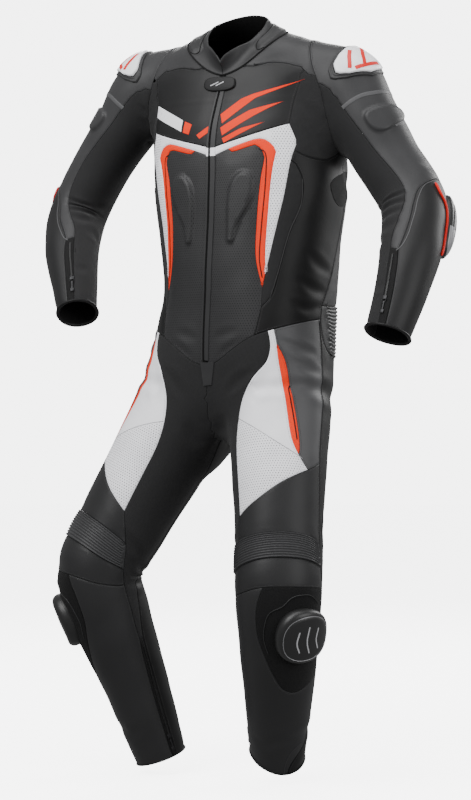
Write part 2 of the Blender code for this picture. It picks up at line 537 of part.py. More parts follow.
class Sheet:
    def __init__(self, surface, world, step):
        self.surface, self.world, self.step = surface, world, step
        self.uv, self.ids, self.lines, self.kinds = [], [], {}, {}

    def vertex(self, uv, world_id=-1):
        self.uv.append((float(uv[0]), float(uv[1])))
        self.ids.append(world_id)
        return len(self.uv) - 1

    def xy(self, verts):
        return self.surface.flat(np.array([self.uv[i] for i in verts]))

    def meet(self, uv, name):
        # the vertex where a seam's end joins a line, added there if none is near;
        # a starred line is joined at its nearest vertex
        p = self.surface.flat(np.array([uv]))[0]
        if name.endswith("*"):
            verts = self.lines[name[:-1]]
            return verts[int(np.linalg.norm(self.xy(verts) - p, axis=1).argmin())]
        best = None
        for line, verts in self.lines.items():
            if not line.startswith(name):
                continue
            q = self.xy(verts)
            a, d = q[:-1], q[1:] - q[:-1]
            s = np.clip(((p - a)*d).sum(1)/np.maximum((d*d).sum(1), 1e-12), 0, 1)
            gap = np.linalg.norm(a + s[:, None]*d - p, axis=1)
            k = int(gap.argmin())
            if best is None or gap[k] < best[0]:
                best = (gap[k], verts[k], verts[k + 1], s[k])
        _, a, b, s = best
        xy = self.xy([a, b])
        length = np.linalg.norm(xy[1] - xy[0])
        snap = min(0.35*self.step, 0.004)
        if s*length < snap or (1 - s)*length < snap:
            return a if s < 0.5 else b
        new = self.vertex(self.surface.unflat((xy[0] + s*(xy[1] - xy[0]))[None])[0])
        self.insert(a, b, new)
        return new

    def insert(self, a, b, new):
        for verts in self.lines.values():
            for k in range(len(verts) - 1):
                if {verts[k], verts[k + 1]} == {a, b}:
                    verts.insert(k + 1, new)
                    break

    def seam(self, name, points, start=None, end=None, kind="seam", step=None, closed=False):
        line = smoothLine(points, self.surface, step or self.step, closed)
        if closed:
            verts = [self.vertex(q) for q in line]
            verts.append(verts[0])
        else:
            first = self.meet(line[0], start) if start else self.vertex(line[0])
            last = self.meet(line[-1], end) if end else self.vertex(line[-1])
            verts = [first] + [self.vertex(q) for q in line[1:-1]] + [last]
        self.lines[name], self.kinds[name] = verts, kind

    def split(self, name, measure):
        # adds a vertex on a line where a measure of its chart points passes zero
        verts = self.lines[name]
        off = measure(np.array([self.uv[i] for i in verts]))
        for k in range(len(verts) - 1):
            if off[k]*off[k + 1] > 0 or abs(off[k] - off[k + 1]) > 60:
                continue
            a, b = self.xy(verts[k:k + 2])
            lo, hi = 0.0, 1.0
            for _ in range(30):
                m = (lo + hi)/2
                here = measure(self.surface.unflat((a + m*(b - a))[None]))[0]
                lo, hi = (m, hi) if here*off[k] > 0 else (lo, m)
            for j, away in ((k, lo), (k + 1, 1 - lo)):
                if away*np.linalg.norm(b - a) < 1e-4:
                    return verts[j]
            new = self.vertex(self.surface.unflat((a + lo*(b - a))[None])[0])
            verts.insert(k + 1, new)
            return new
        raise ValueError("no place on " + name)

    def settle(self):
        # every vertex of a line gets its place in the world
        verts = sorted({i for line in self.lines.values() for i in line if self.ids[i] < 0})
        if verts:
            p = self.surface.point(np.array([self.uv[i] for i in verts]))
            for i, g in zip(verts, self.world.add(p, self.surface.chart.form.normal(p))):
                self.ids[i] = g

    def cut(self, low, high, vs, firstLow, firstHigh):
        # the chart's own cut: the same points once at each end
        angle = np.full(len(vs), low)
        p = self.surface.point(np.column_stack([angle, vs]))
        ids = self.world.add(p, self.surface.chart.form.normal(p))
        for name, u, first in (("cutLow", low, firstLow), ("cutHigh", high, firstHigh)):
            self.lines[name] = [first] + [self.vertex((u, v), g) for v, g in zip(vs, ids)]
            self.kinds[name] = "cut"

    def fill(self, spacing, clear=0.62):
        # free points in rows, away from every line, first where they lie closest
        for scale, low, high in ((0.38, 0, 0.46), (0.6, 0.46, 0.78), (1.0, 0.78, 2)):
            self.fillRows(spacing*scale, clear, low, high)

    def fillRows(self, spacing, clear, least, most):
        low, high = self.surface.chart.low, self.surface.chart.high
        cell = spacing*clear*0.5
        xy = self.xy(range(len(self.uv)))
        lo = xy.min(0) - 2*spacing
        size = np.ceil((xy.max(0) + 2*spacing - lo)/cell).astype(int) + 1
        taken = np.zeros(size, bool)
        k = np.floor((xy - lo)/cell).astype(int)
        taken[k[:, 0], k[:, 1]] = True
        for verts in self.lines.values():
            q = self.xy(verts)
            for a, b in zip(q[:-1], q[1:]):
                n = int(np.linalg.norm(b - a)/(cell*0.7)) + 2
                k = np.floor((a + (b - a)*np.linspace(0, 1, n)[:, None] - lo)/cell).astype(int)
                taken[k[:, 0], k[:, 1]] = True
        near = np.zeros_like(taken)
        for dx in (-1, 0, 1):
            for dy in (-1, 0, 1):
                near |= np.roll(np.roll(taken, dx, 0), dy, 1)
        rows = []
        for k, y in enumerate(np.arange(low[1], high[1] + 0.03, spacing*0.866)):
            g = float(self.surface.chart.girth(np.array([y]))[0])
            a, b = radians(low[0])*g, radians(high[0])*g
            n = max(3, int((b - a)/spacing))
            xs = a + (np.arange(n) + (0.25 if k % 2 else 0.75))*(b - a)/n
            rows.append(np.column_stack([xs, np.full(n, y)]))
        pts = np.vstack(rows)
        k = np.clip(np.floor((pts - lo)/cell).astype(int), 0, size - 1)
        uv = self.surface.unflat(pts[~near[k[:, 0], k[:, 1]]])
        local = crowding(self.surface.point(uv))
        for q in uv[(local >= least) & (local < most)]:
            self.vertex(q)

    def triangulate(self):
        edges, owner = [], []
        for name, verts in self.lines.items():
            for a, b in zip(verts[:-1], verts[1:]):
                edges.append((a, b))
                owner.append(name)
        pts = [Vector(p) for p in self.xy(range(len(self.uv)))]
        verts, outEdges, faces, src, edgeSource, _ = delaunay_2d_cdt(pts, edges, [], 0, 1e-6)
        self.outUv = self.surface.unflat(np.array([(v.x, v.y) for v in verts]))
        ids = [max([self.ids[s] for s in group], default=-1) for group in src]
        new = [k for k, g in enumerate(ids) if g < 0]
        uv = self.outUv[new]
        for k, g in zip(new, self.world.add(self.surface.point(uv), self.surface.normal(uv))):
            ids[k] = g
        self.outIds = np.array(ids)
        self.faces = np.array([f for f in faces if len(f) == 3])
        self.over = {}
        for e, group in zip(outEdges, edgeSource):
            for s in group:
                self.over.setdefault(owner[s], set()).add((min(e), max(e)))
        seams = [n for n, kind in self.kinds.items() if kind != "crease"]
        self.stops = set().union(*[self.over[n] for n in seams])
        self.edgeFaces = {}
        for i, f in enumerate(self.faces):
            for a, b in zip(f, np.roll(f, -1)):
                self.edgeFaces.setdefault((min(a, b), max(a, b)), []).append(i)
        a, b, c = [np.array(self.world.points)[self.outIds[self.faces[:, k]]] for k in range(3)]
        ref = np.array(self.world.normals)[self.outIds[self.faces[:, 0]]]
        if ((np.cross(b - a, c - a)*ref).sum(1) < 0).mean() > 0.5:
            self.faces = self.faces[:, ::-1]

    def flood(self, seed, stops=None):
        # the faces round a seed, up to the seams
        stops = self.stops if stops is None else stops
        xy = self.surface.flat(self.outUv)
        p = self.surface.flat(np.array([seed], float))[0]
        tri = xy[self.faces]
        turn = np.array([(tri[:, (k + 1) % 3, 0] - tri[:, k, 0])*(p[1] - tri[:, k, 1])
                         - (tri[:, (k + 1) % 3, 1] - tri[:, k, 1])*(p[0] - tri[:, k, 0])
                         for k in range(3)])
        inside = (turn >= -1e-12).all(0) | (turn <= 1e-12).all(0)
        start = int(np.nonzero(inside)[0][0])
        seen, todo = {start}, [start]
        while todo:
            f = self.faces[todo.pop()]
            for a, b in zip(f, np.roll(f, -1)):
                key = (min(a, b), max(a, b))
                if key not in stops:
                    for g in self.edgeFaces[key]:
                        if g not in seen:
                            seen.add(g)
                            todo.append(g)
        return sorted(seen)

    def piece(self, seeds, stops=None):
        # world triangles of a panel, and the chart place of each of its points
        faces, places = [], {}
        for seed in seeds:
            for i in self.flood(seed, stops):
                f = self.faces[i]
                faces.append(tuple(int(self.outIds[k]) for k in f))
                for k in f:
                    places.setdefault(int(self.outIds[k]), tuple(self.outUv[k]))
        return sorted(set(faces)), places


def armholeRing(form, side, surface, step):
    mid, rise, drop = ARMHOLES[side]
    rise, drop = unit(np.array([rise[0], 0, rise[1]])), unit(np.array([drop[0], 0, drop[1]]))

    def at(a):
        a = np.asarray(a, float)
        up = np.where((np.sin(a) > 0)[:, None], rise, -drop)
        ray = unit(np.cos(a)[:, None]*np.array([0, -1.0, 0]) + np.sin(a)[:, None]*up)
        start = np.repeat(np.array([mid]), len(a), 0)
        return start + form.cast(start, ray)[:, None]*ray

    a = np.linspace(0, 2*np.pi, 181)
    u = surface.chart.back(at(a))[:, 0]
    k = int(np.argmax(np.abs(np.diff(u))))         # where the sleeve's chart is cut
    lo, hi = a[k], a[k + 1]
    for _ in range(24):
        m = (lo + hi)/2
        same = abs(surface.chart.back(at([m]))[0, 0] - u[k]) < 90
        lo, hi = (m, hi) if same else (lo, m)
    ring = spaced(at(lo + np.linspace(0, 2*np.pi, 241)), step, True)
    if surface.chart.back(ring[1:2])[0, 0] > 90:
        ring = np.vstack([ring[:1], ring[1:][::-1]])
    return ring


def ellipse(spec, count, scale=1.0, power=2.0):
    midU, midV, halfU, halfV = spec
    a = np.linspace(0, 2*np.pi, count, endpoint=False)
    c, s = np.cos(a), np.sin(a)
    r = (np.abs(c)**power + np.abs(s)**power)**(-1/power)*scale
    return [(midU + halfU*r*x, midV + halfV*r*y) for x, y, r in zip(c, s, r)]


def addHardPiece(sheet, name, spec, count, rings, power=2.0):
    loop = ellipse(spec, count, 1.0, power)
    verts = [sheet.vertex(q) for q in loop]
    sheet.lines[name], sheet.kinds[name] = verts + [verts[0]], "crease"
    for k, (scale, number) in enumerate(rings):
        for q in ellipse(spec, number, scale, power):
            sheet.vertex(q)
        if k == len(rings) - 1:
            sheet.vertex(spec[:2])


def insideDistance(outline, surface, uv):
    # how far chart points lie inside a closed outline, 0 outside
    poly = surface.flat(smoothLine(outline, surface, 0.006, True))
    p = surface.flat(uv)
    a, b = poly, np.roll(poly, -1, 0)
    d = b - a
    s = np.clip(((p[:, None] - a)*d).sum(2)/(d*d).sum(1), 0, 1)
    gap = np.linalg.norm(a + s[:, :, None]*d - p[:, None], axis=2).min(1)
    up = (a[:, 1] > p[:, None, 1]) != (b[:, 1] > p[:, None, 1])
    cross = a[:, 0] + (p[:, None, 1] - a[:, 1])/np.where(d[:, 1] == 0, 1e-12, d[:, 1])*d[:, 0]
    inside = ((up & (p[:, None, 0] < cross)).sum(1) % 2) == 1
    return np.where(inside, gap, 0)


def addPad(sheet, name, outline):
    # two loops that hold a raised pad's foot and its top edge
    sheet.seam(name, outline, kind="crease", step=sheet.step*0.75, closed=True)
    flat = sheet.surface.flat(smoothLine(outline, sheet.surface, sheet.step*0.75, True))
    back, ahead = np.roll(flat, 1, 0), np.roll(flat, -1, 0)
    side = unit(ahead - back)[:, ::-1]*np.array([-1, 1])
    if ((flat - flat.mean(0))*side).sum() > 0:
        side = -side
    inner = sheet.surface.unflat(flat + side*PAD_EDGE*1.02)
    verts = [sheet.vertex(q) for q in inner]
    sheet.lines[name + "Top"], sheet.kinds[name + "Top"] = verts + [verts[0]], "crease"


def padLift(outline, surface, uv):
    d = np.clip(insideDistance(outline, surface, uv)/PAD_EDGE, 0, 1)
    return PAD_HEIGHT*d*d*(3 - 2*d)


class Ribs:
    # parallel ribs between two seams of a chart
    def __init__(self, top, low, count, margin):
        self.top, self.low = np.array(top, float), np.array(low, float)
        self.count, self.margin = count, margin

    def edges(self, u):
        a = smoothRows(self.top, np.clip(u, self.top[0, 0], self.top[-1, 0]))[:, 0]
        b = smoothRows(self.low, np.clip(u, self.low[0, 0], self.low[-1, 0]))[:, 0]
        return a, b

    def ends(self, fraction):
        start = self.top[0, 0] + (self.low[0, 0] - self.top[0, 0])*fraction
        stop = self.top[-1, 0] + (self.low[-1, 0] - self.top[-1, 0])*fraction
        return start + self.margin, stop - self.margin

    def lift(self, uv):
        a, b = self.edges(uv[:, 0])
        f = np.clip((uv[:, 1] - a)/(b - a), 0, 1)
        wave = 1 - np.abs(2*((f*self.count) % 1) - 1)
        start, stop = self.ends(f)
        room = np.minimum(uv[:, 0] - start, stop - uv[:, 0]) + self.margin
        return RIB_HEIGHT*wave*np.clip(room/self.margin, 0, 1)

    def draw(self, sheet, name, spacing):
        for k in range(1, 2*self.count):
            f = k/(2*self.count)
            start, stop = self.ends(f)
            girth = float(sheet.surface.chart.girth(self.top[:1, 1])[0])
            n = max(3, int(round(radians(stop - start)*girth/spacing)))
            u = np.linspace(start, stop, n + 1)
            a, b = self.edges(u)
            verts = [sheet.vertex(q) for q in np.column_stack([u, a + (b - a)*f])]
            sheet.lines["%s%d" % (name, k)] = verts
            sheet.kinds["%s%d" % (name, k)] = "crease"


# ---- solids ----
def fans(faces):
    # a copy of a point for each separate fan of faces round it
    around = {}
    for i, f in enumerate(faces):
        for v in f:
            around.setdefault(v, []).append(i)
    renamed, source = [list(f) for f in faces], []
    for v, owners in sorted(around.items()):
        left = set(owners)
        while left:
            group, todo = set(), [min(left)]
            while todo:
                i = todo.pop()
                if i in group:
                    continue
                group.add(i)
                mine = set(faces[i]) - {v}
                todo += [j for j in left if j not in group and mine & (set(faces[j]) - {v})]
            left -= group
            for i in group:
                renamed[i][faces[i].index(v)] = len(source)
            source.append(v)
    return [tuple(f) for f in renamed], source


def borderEdges(faces):
    edges = {(a, b) for f in faces for a, b in ((f[0], f[1]), (f[1], f[2]), (f[2], f[0]))}
    return [e for e in edges if (e[1], e[0]) not in edges]


def pullIn(points, normals, border, distance):
    # moves the border of a panel inward along the panel
    left = {}
    for a, b in border:
        d = points[b] - points[a]
        for v in (a, b):
            left.setdefault(v, []).append(unit(np.cross(normals[v], d)))
    moved = points.copy()
    for v, dirs in left.items():
        if len(dirs) == 2:
            way = (dirs[0] + dirs[1])/max(1 + float(dirs[0]@dirs[1]), 0.15)
        else:
            way = dirs[0]
        moved[v] = points[v] + way*distance
    return moved


def solid(name, outer, inner, faces, material, origin=None, order=None):
    # order: neighbours split the wall between them along the same diagonal
    count = len(outer)
    shell = [tuple(f) for f in faces] + [(f[2] + count, f[1] + count, f[0] + count) for f in faces]
    for a, b in borderEdges(faces):
        if order is None or order[a] < order[b]:
            shell += [(b, a, a + count), (b, a + count, b + count)]
        else:
            shell += [(a, a + count, b + count), (b, a, b + count)]
    verts = np.vstack([outer, inner])
    if origin is not None:
        verts = verts - origin
    mesh = bpy.data.meshes.new(name)
    bm = bmesh.new()
    made = [bm.verts.new(v) for v in verts]
    for f in shell:
        bm.faces.new([made[k] for k in f])
    if bm.calc_volume(signed=True) < 0:
        bmesh.ops.reverse_faces(bm, faces=bm.faces)
    bm.to_mesh(mesh)
    bm.free()
    mesh.shade_smooth()
    mesh.set_sharp_from_angle(angle=radians(35))
    thing = bpy.data.objects.new(name, mesh)
    if origin is not None:
        thing.location = origin
    bpy.context.scene.collection.objects.link(thing)
    mesh.materials.append(materialFor(material))
    return thing


def materialFor(name):
    mat = bpy.data.materials.get(name)
    if mat is None:
        red, green, blue, rough, metal = MATERIALS[name]
        mat = bpy.data.materials.new(name)
        mat.use_nodes = True
        bsdf = mat.node_tree.nodes["Principled BSDF"]
        bsdf.inputs["Base Color"].default_value = (red, green, blue, 1)
        bsdf.inputs["Roughness"].default_value = rough
        bsdf.inputs["Metallic"].default_value = metal
        mat.diffuse_color = (red, green, blue, 1)
    return mat


def panel(name, piece, world, material, wall, lift=None):
    faces, places = piece
    faces, source = fans(faces)
    p = np.array([world.points[g] for g in source])
    n = np.array([world.normals[g] for g in source])
    p = pullIn(p, n, borderEdges(faces), SEAM_GAP/2)
    rise = np.zeros(len(p)) if lift is None else lift(np.array([places[g] for g in source]))
    return solid(name, p + rise[:, None]*n, p - wall*n, faces, material, order=source)


def hardPiece(name, piece, world, material, spec, edge, crown, power=2.0, clearance=0.0004):
    # a shell that lies on the panels below it, highest in its middle
    faces, places = piece
    faces, source = fans(faces)
    p = np.array([world.points[g] for g in source])
    n = np.array([world.normals[g] for g in source])
    uv = np.array([places[g] for g in source])
    x, y = np.abs(uv[:, 0] - spec[0])/spec[2], np.abs(uv[:, 1] - spec[1])/spec[3]
    r = np.clip((x**power + y**power)**(1/power), 0, 1)
    height = edge + crown*np.sqrt(np.clip(1 - r**2.6, 0, 1))
    low = p + clearance*n
    return solid(name, low + height[:, None]*n, low, faces, material)


def collar(world, sheet):
    neck = sheet.lines["neck"]
    neck = neck[:-1] if sheet.ids[neck[0]] == sheet.ids[neck[-1]] else neck
    centre = int(np.argmin([abs(sheet.uv[i][0]) for i in neck]))
    ring = neck[centre:] + neck[:centre + 1]       # from the front, round by the left
    base = np.array([world.points[sheet.ids[i]] for i in ring])
    angle = np.array([sheet.uv[i][0] for i in ring]) % 360
    angle[0], angle[-1] = 0, 360
    table = RIM + [(360 - a, z, r) for a, z, r in RIM[-2::-1]]
    rim = smoothRows(table, angle)
    a = np.radians(angle)
    top = np.column_stack([rim[:, 1]*np.sin(a), -rim[:, 1]*np.cos(a), rim[:, 0]])
    rows, count = 3, len(ring)
    grid = np.array([base + (top - base)*k/rows for k in range(rows + 1)])
    out = unit(grid*np.array([1, 1, 0]))
    for k in range(1, rows):
        grid[k] -= out[k]*0.004*np.sin(np.pi*k/rows)
    along = np.gradient(grid, axis=1)
    rise = np.gradient(grid, axis=0)
    normal = unit(np.cross(along, rise))
    normal = np.where((normal*out).sum(2)[..., None] < 0, -normal, normal)
    normal[0] = [world.normals[sheet.ids[i]] for i in ring]
    pts, nrm = grid.reshape(-1, 3), normal.reshape(-1, 3)
    order = [sheet.ids[i] for i in ring] + [len(world.points) + k for k in range(rows*count)]
    faces = []
    for k in range(rows):
        for j in range(count - 1):
            q = (k*count + j, k*count + j + 1, (k + 1)*count + j + 1, (k + 1)*count + j)
            faces += [(q[0], q[1], q[2]), (q[0], q[2], q[3])]
    a, b, c = pts[faces[0][0]], pts[faces[0][1]], pts[faces[0][2]]
    if np.cross(b - a, c - a)@nrm[faces[0][0]] < 0:
        faces = [(f[0], f[2], f[1]) for f in faces]
    pts = pullIn(pts, nrm, borderEdges(faces), SEAM_GAP)
    return solid("collar", pts, pts - nrm*COLLAR_WALL, faces, "charcoal leather", order=order)


def zipPull(name, surface, place, ahead, size, material):
    # a tab hinged at its upper end, lying along the zip
    length, width, thick = size
    here, there = surface.point(np.array([place, ahead]))
    n = surface.normal(np.array([place]))[0]
    down = unit(there - here - n*float((there - here)@n))
    across = np.cross(down, n)
    origin = here + n*(thick/2 + 0.0002)
    outline = [(0.0, 0.40), (0.12, 0.5), (0.55, 0.40), (0.85, 0.5), (1.0, 0.32)]
    ring = [(x, y) for x, y in outline] + [(x, -y) for x, y in reversed(outline)]
    low = np.array([origin + down*x*length + across*y*width - n*thick/2 for x, y in ring])
    top = low + n*thick
    faces = [(0, k, k + 1) for k in range(1, len(ring) - 1)]
    a, b, c = top[faces[0][0]], top[faces[0][1]], top[faces[0][2]]
    if np.cross(b - a, c - a)@n < 0:
        faces = [(f[0], f[2], f[1]) for f in faces]
    print("hinge", name, [round(float(v), 5) for v in origin],
          "axis", [round(float(v), 5) for v in across])
    return solid(name, top, low, faces, material, origin=origin)


# ---- the suit ----
def cutTorso(world, surface, arms, legs):
    step = STEP["torso"]
    sheet = Sheet(surface, world, step)
    sheet.seam("neck", otherSide(NECK[::-1], -1)[:-1] + NECK, kind="edge", step=step*0.6)
    sheet.split("neck", lambda uv: uv[:, 0])
    front = smoothLine(otherSide(WAIST_FRONT[::-1], -1)[:-1] + WAIST_FRONT, surface, step)
    left = smoothLine(WAIST_BACK, surface, step)
    right = smoothLine(otherSide(WAIST_BACK[::-1], -1), surface, step)
    sheet.lines["waist"] = [sheet.vertex(q) for q in np.vstack([right[:-1], front, left[1:]])]
    sheet.kinds["waist"] = "edge"
    vs = []
    for a, b in zip(BACK_STOPS[:-1], BACK_STOPS[1:]):
        vs += list(np.linspace(a, b, max(2, int(round((a - b)/step))) + 1)[:-1])
    vs.append(BACK_STOPS[-1])
    p = surface.point(np.array([(180.0, v) for v in vs]))
    ids = world.add(p, surface.chart.form.normal(p))
    for name, u, end in (("back_left", 180.0, -1), ("back_right", -180.0, 0)):
        verts = [sheet.vertex((u, v), g) for v, g in zip(vs, ids)]
        sheet.lines["neck"][end], sheet.lines["waist"][end] = verts[0], verts[-1]
        sheet.lines[name], sheet.kinds[name] = verts, "cut"
    for side in arms:
        p = armholeRing(surface.chart.form, side, arms[side], step*0.75)
        ids = world.add(p, surface.chart.form.normal(p))
        verts = [sheet.vertex(q, g) for q, g in zip(surface.chart.back(p), ids)]
        sheet.lines["armhole_" + side] = verts + [verts[0]]
        sheet.kinds["armhole_" + side] = "edge"
    for s, side in ((1, "left"), (-1, "right")):
        u = s*ZIP_HALF
        sheet.seam("zip_" + side, turnChest([(u, v) for v in ZIP_STOPS]), "neck", "waist")
    for name, (pts, start, end) in TORSO_SEAMS.items():
        for s, side in ((1, "left"), (-1, "right")):
            tag = "_" + side
            sheet.seam(name + tag, turnChest(otherSide(pts, s)),
                       start and start + ("" if start in ("neck", "waist") else tag),
                       end and end + ("" if end in ("neck", "waist") else tag))
    sheet.split("waist", lambda uv: uv[:, 0])
    cuts = {}
    for side, keep in (("left", 1), ("right", -1)):
        def behind(uv, chart=legs[side].chart, keep=keep):
            u = chart.back(surface.point(uv))[:, 0] % 360 - 180
            return np.where(keep*uv[:, 0] > 60, u, 99.0)
        cuts[side] = sheet.split("waist", behind)
    sheet.settle()
    for s, side in ((1, "left"), (-1, "right")):
        addPad(sheet, "pad_" + side, turnChest(otherSide(FRONT_PAD, s)))
    addHardPiece(sheet, "tab", TAB, 12, [(0.5, 6)], 3.5)
    ribs = BackRibs()
    ribs.draw(sheet, "rib", 0.040)
    return sheet, cuts, ribs


class BackRibs:
    # ribs across the small of the back, mirrored about its middle
    margin = 4.0

    def edges(self, away):
        top = [(180 - u, v) for u, v in TORSO_SEAMS["ribsTop"][0]][::-1]
        low = [(180 - u, v) for u, v in WAIST_BACK[1:]][::-1]
        a = smoothRows(top, np.clip(away, 0, 89))[:, 0]
        b = smoothRows(low, np.clip(away, 0, 87))[:, 0]
        return a, b

    def lift(self, uv):
        away = 180 - np.abs(uv[:, 0])
        a, b = self.edges(away)
        f = np.clip((uv[:, 1] - a)/(b - a), 0, 1)
        wave = 1 - np.abs(2*((f*BACK_RIBS) % 1) - 1)
        reach = 86 - 6*f
        return RIB_HEIGHT*wave*np.clip((reach - away)/self.margin, 0, 1)

    def draw(self, sheet, name, spacing):
        for k in range(1, 2*BACK_RIBS):
            f = k/(2*BACK_RIBS)
            reach = 86 - 6*f - self.margin
            n = int(round(radians(reach)*0.165/spacing))
            away = np.linspace(0, reach, n + 1)
            a, b = self.edges(away)
            v = a + (b - a)*f
            ids = self.middle(sheet, v[0])
            for s, side in ((1, "left"), (-1, "right")):
                verts = [ids[side]] + [sheet.vertex((s*(180 - w), y))
                                       for w, y in zip(away[1:], v[1:])]
                sheet.lines["%s%d_%s" % (name, k, side)] = verts
                sheet.kinds["%s%d_%s" % (name, k, side)] = "crease"

    def middle(self, sheet, v):
        # the same point at both ends of the chart, put into the chart's cut
        p = sheet.surface.point(np.array([(180.0, v)]))
        g = sheet.world.add(p, sheet.surface.chart.form.normal(p))[0]
        ids = {}
        for side, u in (("left", 180.0), ("right", -180.0)):
            line = sheet.lines["back_" + side]
            near = [i for i in line if abs(sheet.uv[i][1] - v) < 0.0004]
            if near:
                ids[side] = near[0]
                continue
            new = sheet.vertex((u, v), g)
            k = next(k for k in range(len(line)) if sheet.uv[line[k]][1] < v)
            line.insert(k, new)
            ids[side] = new
        return ids


def cutArm(world, surface, torso, side):
    sheet = Sheet(surface, world, STEP["arm"])
    ring = [torso.ids[i] for i in torso.lines["armhole_" + side]]
    uv = surface.chart.back(np.array([world.points[g] for g in ring]))
    low, high = surface.chart.low[0], surface.chart.high[0]
    uv[0, 0], uv[-1, 0] = low, high
    sheet.lines["armhole"] = [sheet.vertex(q, g) for q, g in zip(uv, ring)]
    sheet.kinds["armhole"] = "edge"
    count = int((ARM_LENGTH - uv[0, 1])/sheet.step)
    vs = np.linspace(uv[0, 1], ARM_LENGTH, count + 1)[1:]
    sheet.cut(low, high, vs, sheet.lines["armhole"][0], sheet.lines["armhole"][-1])
    sheet.seam("cuff", [(low, ARM_LENGTH), (90, ARM_LENGTH), (high, ARM_LENGTH)], kind="edge",
               step=sheet.step*0.8)
    sheet.lines["cuff"][0] = sheet.lines["cutLow"][-1]
    sheet.lines["cuff"][-1] = sheet.lines["cutHigh"][-1]
    for name, (pts, start, end) in SLEEVE_SEAMS.items():
        sheet.seam(name, pts, start, end)
    sheet.settle()
    addPad(sheet, "pad", SLEEVE_PAD)
    addHardPiece(sheet, "cup", CUP, 18, [(0.8, 14), (0.45, 7)], 2.3)
    addHardPiece(sheet, "slider", ELBOW, 16, [(0.75, 12), (0.4, 6)], 2.3)
    return sheet


def middleLine(form, start, end, step):
    (topX, topZ), (lowX, lowZ) = CROTCH
    down = unit(np.array([lowX - topX, 0, lowZ - topZ]))
    front = np.array([-np.sin(radians(10)), -np.cos(radians(10)), 0])
    mid = np.array([topX + (lowX - topX)*0.1, 0.033, topZ + (lowZ - topZ)*0.1])
    ends = [np.arctan2((p - mid)@down, (p - mid)@front) for p in (start, end)]
    a = np.linspace(ends[0], ends[1], 90)[:, None]
    ray = unit(np.cos(a)*front + np.sin(a)*down)
    line = mid + form.cast(np.repeat(mid[None], 90, 0), ray, rounds=24)[:, None]*ray
    line[0], line[-1] = start, end
    return spaced(line, step, False)


def cutLegs(world, surfaces, torso, cuts):
    waist = torso.lines["waist"]
    centre = int(np.argmin([abs(torso.uv[i][0]) for i in waist]))
    form = surfaces["left"].chart.form
    ends = [torso.ids[waist[centre]], torso.ids[waist[-1]]]
    p = middleLine(form, world.points[ends[0]], world.points[ends[1]], STEP["leg"]*0.8)
    inner = world.add(p[1:-1], form.normal(p[1:-1]))
    sheets = {}
    for side in ("left", "right"):
        surface = surfaces[side]
        sheet = Sheet(surface, world, STEP["leg"])
        part = waist[centre:] if side == "left" else waist[:centre + 1][::-1]
        k = part.index(cuts[side])
        ids = [torso.ids[i] for i in part]
        uv = surface.chart.back(np.array([world.points[g] for g in ids]))
        first, second = uv[:k + 1].copy(), uv[k:].copy()
        first[-1, 0], second[0, 0] = 180, -180
        sheet.lines["waistFront"] = [sheet.vertex(q, g) for q, g in zip(first, ids[:k + 1])]
        sheet.lines["waistBack"] = [sheet.vertex(q, g) for q, g in zip(second, ids[k:])]
        uv = surface.chart.back(p[1:-1])
        sheet.lines["mid"] = ([sheet.lines["waistFront"][0]]
                              + [sheet.vertex(q, g) for q, g in zip(uv, inner)]
                              + [sheet.lines["waistBack"][-1]])
        for name in ("waistFront", "waistBack", "mid"):
            sheet.kinds[name] = "edge"
        low = HEMS[side][0][1]
        vs = np.linspace(first[-1, 1], low, int((low - first[-1, 1])/sheet.step) + 1)[1:]
        sheet.cut(-180, 180, vs, sheet.lines["waistBack"][0], sheet.lines["waistFront"][-1])
        sheet.seam("hem", HEMS[side], kind="edge", step=sheet.step*0.8)
        sheet.lines["hem"][0] = sheet.lines["cutLow"][-1]
        sheet.lines["hem"][-1] = sheet.lines["cutHigh"][-1]
        for name, (pts, start, end) in LEG_SEAMS.items():
            start = "waistFront" if start == "waist" else start
            sheet.seam(name, pts, start, end)
        sheets[side] = sheet
    # seams that end on the line between the legs add points to it, shared by both legs
    for side, other in (("left", "right"), ("right", "left")):
        a, b = sheets[side], sheets[other]
        for k, i in enumerate(a.lines["mid"]):
            if a.ids[i] < 0:
                p = a.surface.point(np.array([a.uv[i]]))
                before, after = a.ids[a.lines["mid"][k - 1]], a.ids[a.lines["mid"][k + 1]]
                a.ids[i] = world.add(p, form.normal(p))[0]
                pair = [j for j in b.lines["mid"] if b.ids[j] in (before, after)]
                b.insert(pair[0], pair[1], b.vertex(b.surface.chart.back(p)[0], a.ids[i]))
    ribs = Ribs(LEG_SEAMS["ribsTop"][0], LEG_SEAMS["ribsLow"][0], KNEE_RIBS, 6.0)
    for sheet in sheets.values():
        sheet.settle()
        ribs.draw(sheet, "rib", 0.034)
        addHardPiece(sheet, "slider", KNEE, 16, [(0.75, 12), (0.4, 6)], 2.3)
    return sheets, ribs


def clearScene():
    for thing in list(bpy.data.objects):
        bpy.data.objects.remove(thing, do_unlink=True)


